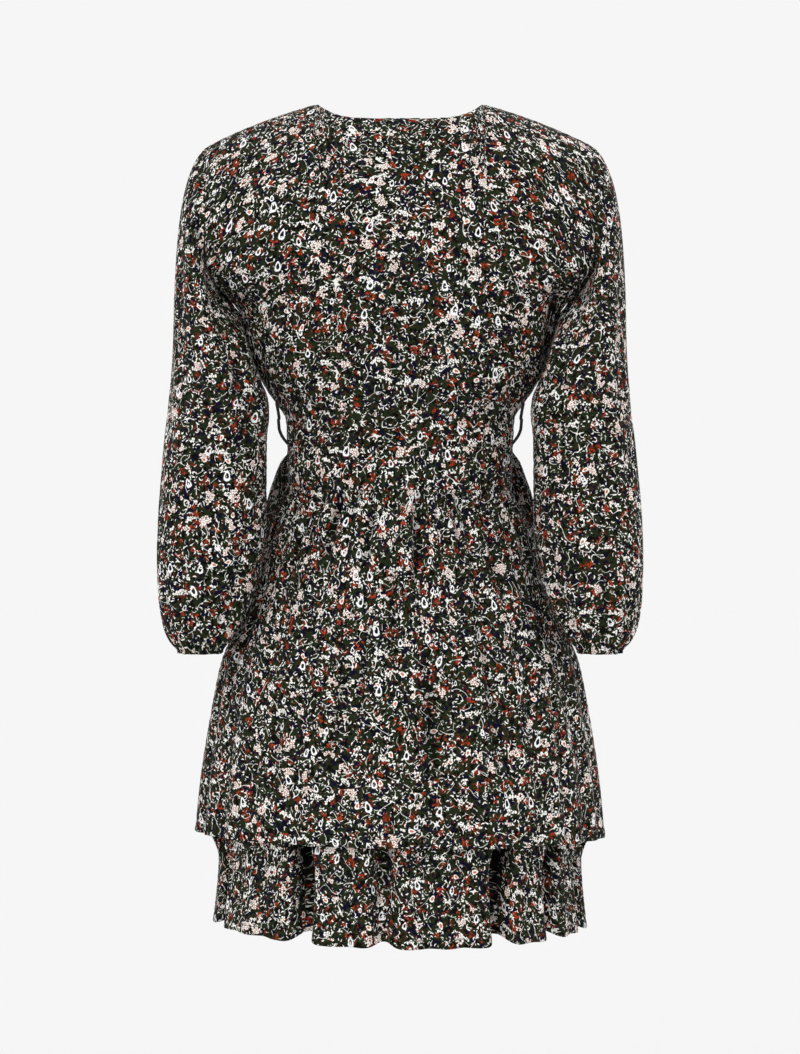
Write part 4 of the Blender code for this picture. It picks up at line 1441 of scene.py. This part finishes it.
MOTIF_COLUMNS = ("Spacing", "Shift", "Size", "Share", "Length")
MOTIFS = {
    "night patches": (8.5, (31, 7, 0), 3.0, 0.56, 1.2),
    "brown patches": (7.5, (-17, 45, 0), 1.9, 0.40, 1.6),
    "rust clusters": (17.0, (5, -33, 0), 5.2, 0.64, 1.5),
    "rust dots": (6.2, (55, 21, 0), 1.15, 0.24, 2.2),
    "leaves": (4.9, (12, 80, 0), 1.9, 0.36, 3.2),
    "specks": (4.0, (-40, 11, 0), 1.05, 0.42, 2.6),
    "blossoms": (27.0, (23, -9, 0), 6.2, 0.40, 1.5),
    "sprays": (25.0, (-64, 37, 0), 8.0, 0.50, 3.2),
    "drops": (31.0, (13, 58, 0), 2.7, 0.30, 1.7),
    "loops": (35.0, (3, 3, 0), 4.1, 0.50, 1.8),
}


def motifs(shared, name, place, **more):
    """Strews one kind of motif over the print."""
    return use(shared, Place=place, **dict(zip(MOTIF_COLUMNS, MOTIFS[name])), **more)


def two_inks(tint, share, first, second):
    """The second ink where the tint is under a share, and the first one elsewhere."""
    return paint(under(tint, share, CRISP), first, second)


print("kinds of motifs:", len(MOTIFS))


# %% The print, layer by layer
def lay_ground(ragged):
    colour = two_inks(noise(ragged, CHARCOAL_LENGTH)["Fac"], CHARCOAL_SHARE, FOREST, CHARCOAL)
    moss = noise(ragged + (71, 13, 0), MOSS_LENGTH)["Fac"]
    colour = two_inks(moss, MOSS_SHARE, colour, MOSS)
    colour = paint(motifs(DOTS, "night patches", ragged)["Mask"], colour, NIGHT)
    return paint(motifs(DOTS, "brown patches", ragged)["Mask"], colour, BROWN)


def lay_rust(colour, loose):
    rust = motifs(CLUSTERS, "rust clusters", loose, Fill=0.66)
    colour = paint(rust["Mask"], colour, two_inks(rust["Petal tint"], 0.5, BRICK, RUST))
    small = motifs(DOTS, "rust dots", loose)
    return paint(small["Mask"], colour, two_inks(small["Tint"], 0.5, BRICK, RUST))


def lay_stems(colour, place, crisp):
    for step, length, share in STEM_RUNS:
        line = abs(noise(crisp + (step, -step, 0), length, 0.0)["Fac"] - 0.5)
        run = under(noise(place + (-step, step, 0), STEM_GAPS, 0.0)["Fac"], share, CRISP)
        thin = under(line, STEM_WIDTH / length, STEM_EDGE / length)
        colour = paint(thin * run, colour, STEM)
    return colour


def lay_specks(colour, place, crisp):
    dense = under(noise(place + (33, 66, 0), DENSE_LENGTH)["Fac"], DENSE_SHARE, DENSE_EDGE)
    leaves = motifs(DOTS, "leaves", crisp)
    colour = paint(leaves["Mask"], colour, two_inks(leaves["Tint"], SAGE_SHARE, CREAM, SAGE))
    return paint(motifs(DOTS, "specks", crisp)["Mask"] * dense, colour, CREAM)


def lay_blossoms(colour, loose):
    bloom = motifs(CLUSTERS, "blossoms", loose, Gap=0.10, Fill=0.80)
    colour = paint(bloom["Veins"], colour, BRICK)
    colour = paint(bloom["Mask"], colour, paint(bloom["Petal tint"], CREAM, BLUSH))
    spray = motifs(CLUSTERS, "sprays", loose, Turns=0.9)
    return paint(spray["Mask"], colour, CREAM)


def lay_rings(colour, loose):
    drops = motifs(RINGS, "drops", loose)
    colour = paint(drops["Middle"], colour, PEACH)
    colour = paint(drops["Mask"], colour, CREAM)
    return paint(motifs(RINGS, "loops", loose, Turns=1.1)["Mask"], colour, CHALK)


def ditsy(given):
    place = scaled(given["Place"], FINENESS)
    wobble = noise(place, WOBBLE_LENGTH, 2.0)["Color"] - (0.5, 0.5, 0.5)
    ragged, loose, crisp = (place + scaled(wobble, reach) for reach in WOBBLES)
    colour = lay_ground(ragged)
    colour = lay_rust(colour, loose)
    colour = lay_stems(colour, place, crisp)
    colour = lay_specks(colour, place, crisp)
    colour = lay_blossoms(colour, loose)
    return {"Color": lay_rings(colour, loose)}


PRINT = group("Ditsy print", {"Place": ORIGIN}, ditsy)

# %% [markdown]
# ## Weave, stitches and crumple
# Viscose for dresses is a plain weave of fine matt threads, about three to a millimetre. Up close
# the threads rise and dip over each other; from a step away only a slight unevenness is left.
# Stitches are short dashes at one distance from a hem, which the *hem* map gives straight away.

# %% Groups: weave, stitches and crumple
WEAVE_INPUTS = {"Place": ORIGIN, "Thread": 0.34, "Height": 0.00005}
STITCH_INPUTS = {"Edge": (0, 1, 0), "Offset": 0.009, "Pitch": 0.0028, "Width": 0.00032}
CRUMPLE_INPUTS = {"Place": ORIGIN, "Pebble": 0.00006, "Wrinkle": 0.00035}
THREAD_GAP, THREAD_TOP = 0.86, 0.22  # the light between threads, and how much is added on top
STITCH_SHARE = 0.72  # the share of the pitch that a stitch takes
PEBBLE_LENGTH, WRINKLE_LENGTH = 1.3, 17.0  # in millimetres


def weave(given):
    waves = [reckon("SINE", part * (math.pi / given["Thread"])) for part in parts(given["Place"])]
    crossing = waves[0] * waves[1]
    return {"Height": crossing * given["Height"], "Shade": THREAD_GAP + abs(crossing) * THREAD_TOP}


def stitches(given):
    along, away = parts(given["Edge"])
    on_line = abs(away - given["Offset"]) < given["Width"]
    return {"Mask": on_line * (reckon("FRACT", along / given["Pitch"]) < STITCH_SHARE)}


def crumple(given):
    pebble = noise(given["Place"], PEBBLE_LENGTH, 2.0)["Fac"] * given["Pebble"]
    wrinkle = noise(given["Place"], WRINKLE_LENGTH, 2.0)["Fac"] * given["Wrinkle"]
    return {"Height": pebble + wrinkle}


WEAVE = group("Plain weave", WEAVE_INPUTS, weave)
STITCHES = group("Stitches", STITCH_INPUTS, stitches)
CRUMPLE = group("Crumple", CRUMPLE_INPUTS, crumple)

# %% [markdown]
# ## The materials
# One material serves all the printed cloth, because each piece brings its own maps. On the wrong
# side the ink shows through weakly, so the colour is mixed with the undyed yarn there.

# %% The printed cloth
SHADOW_DEPTH = 0.80  # the share of the light that the deepest folds lose
WRONG_SIDE = 0.45  # how much of the undyed yarn shows on the wrong side
UNDYED = ink(120, 122, 112)
THREAD = ink(38, 46, 36)
STITCH_RISE = 0.00025
FIBRE_RISE = 0.0001
MATT, THREAD_SHINE = 0.94, 0.10
FULL_BUMP = {"Strength": 1.0, "Distance": 1.0}


def new_material(name):
    material = bpy.data.materials.new(name)
    material.use_nodes = True
    return material, material.node_tree.nodes["Principled BSDF"]


def make_cloth_material():
    material, shader = new_material("printed_viscose")
    tree = material.node_tree
    maps = {name: node(tree, "ShaderNodeUVMap", {}, uv_map=name)[0] for name in ("cloth", "hem")}
    place = scaled(maps["cloth"], 1 / MILLIMETRE)
    inside = node(tree, "ShaderNodeAttribute", {}, attribute_name="inside")["Fac"]
    shadow = node(tree, "ShaderNodeAttribute", {}, attribute_name="shadow")["Fac"]
    threads = use(WEAVE, Place=place)
    stitch = use(STITCHES, Edge=maps["hem"])["Mask"]
    colour = paint(inside * WRONG_SIDE, use(PRINT, Place=place)["Color"], UNDYED)
    colour = paint(stitch, colour, THREAD)
    # painted shade: the shadow value of deep folds and side seams darkens the base colour
    light = (1.0 - shadow * SHADOW_DEPTH) * threads["Shade"]
    grey = node(tree, "ShaderNodeCombineColor", {0: light, 1: light, 2: light})[0]
    relief = threads["Height"] + use(CRUMPLE, Place=place)["Height"] + stitch * STITCH_RISE
    looks = {
        "Base Color": paint(1.0, colour, grey, blend="MULTIPLY"),
        "Roughness": MATT - threads["Shade"] * THREAD_SHINE,
        "Normal": node(tree, "ShaderNodeBump", {**FULL_BUMP, "Height": relief})[0],
        "Specular IOR Level": 0.05,
        "Sheen Weight": 0.01,
        "Sheen Roughness": 0.45,
    }
    feed(shader, looks)
    return material


def make_cord_material():
    material, shader = new_material("black_thread_cord")
    tree = material.node_tree
    place = scaled(node(tree, "ShaderNodeTexCoord", {})["Object"], 1 / MILLIMETRE)
    inputs = {"Vector": place, "Scale": 5.0, "Detail": 3.0}
    fibre = node(tree, "ShaderNodeTexNoise", inputs)["Fac"]
    looks = {
        "Base Color": paint(fibre, ink(8, 8, 9), ink(30, 29, 30)),
        "Normal": node(tree, "ShaderNodeBump", {**FULL_BUMP, "Height": fibre * FIBRE_RISE})[0],
        "Roughness": 0.8,
        "Sheen Weight": 0.08,
    }
    feed(shader, looks)
    return material


CLOTH_MATERIAL, CORD_MATERIAL = make_cloth_material(), make_cord_material()
for piece in cloth_pieces.values():
    piece.data.materials.append(CLOTH_MATERIAL)
for piece in belt_loops:
    piece.data.materials.append(CORD_MATERIAL)
print("pieces of printed cloth:", len(cloth_pieces))

# %% [markdown]

# %% [markdown]
# ## The studio
# A worn dress hangs in the air, so the floor lies where a wearer would stand. The background is a
# pale plain field, and broad soft lights keep the folds readable without hard shadows.

# %% Floor and background
FLOOR_DROP = 1.44
FLOOR_SIZE = 60.0
PALE = ink(246, 246, 246)
FLOOR_GREY = (0.667, 0.667, 0.667, 1)
bpy.ops.object.select_all(action="DESELECT")
bpy.ops.mesh.primitive_plane_add(size=FLOOR_SIZE, location=(0, 0, height(FLOOR_DROP)))
floor = bpy.context.object
floor.name = "floor"
floor_material, floor_shader = new_material("pale_floor")
feed(floor_shader, {"Base Color": FLOOR_GREY, "Roughness": 1.0, "Specular IOR Level": 0.0})
floor.data.materials.append(floor_material)

world = bpy.data.worlds.new("pale_room")
bpy.context.scene.world = world
world.use_nodes = True
feed(world.node_tree.nodes["Background"], {"Color": PALE, "Strength": 1.0})
print("floor at height", round(floor.location.z, 3), "m")

# %% Lights
SUN_WIDTH = 35
LIGHTS = {
    "back_key": (35, 40, 0.9),
    "back_fill": (-50, 35, 0.25),
    "front_key": (215, 40, 0.9),
    "front_fill": (130, 35, 0.25),
}  # azimuth, elevation and strength


def soft_sun(name, azimuth, elevation, strength):
    """A sun so wide that it has no hard shadows. Azimuth 0 is behind the wearer."""
    data = bpy.data.lights.new(name, "SUN")
    data.angle = math.radians(SUN_WIDTH)
    data.energy = strength
    lamp = bpy.data.objects.new(name, data)
    lamp.rotation_euler = (math.radians(90 - elevation), 0, math.radians(180 - azimuth))
    bpy.context.collection.objects.link(lamp)


for light_name, facts in LIGHTS.items():
    soft_sun(light_name, *facts)

# %% [markdown]
# ## The camera
# The dress is seen from straight behind at half its own height, with a long lens, so that the
# sides and hems stay nearly parallel to the picture.

# %% Camera
CAMERA_DISTANCE = 3.0
VIEW_HEIGHT = 1.125  # how much of the dress's own plane the picture's height shows
CAMERA_Z = -0.4065
SENSOR = 36.0
camera_data = bpy.data.cameras.new("camera")
camera_data.sensor_width = SENSOR
camera_data.lens = SENSOR * CAMERA_DISTANCE / VIEW_HEIGHT
camera = bpy.data.objects.new("camera", camera_data)
camera.location = (0, CAMERA_DISTANCE, CAMERA_Z)
camera.rotation_euler = (math.radians(90), 0, math.radians(180))
bpy.context.collection.objects.link(camera)
bpy.context.scene.camera = camera
bpy.context.scene.view_settings.view_transform = "Standard"
print("lens:", camera_data.lens, "mm")
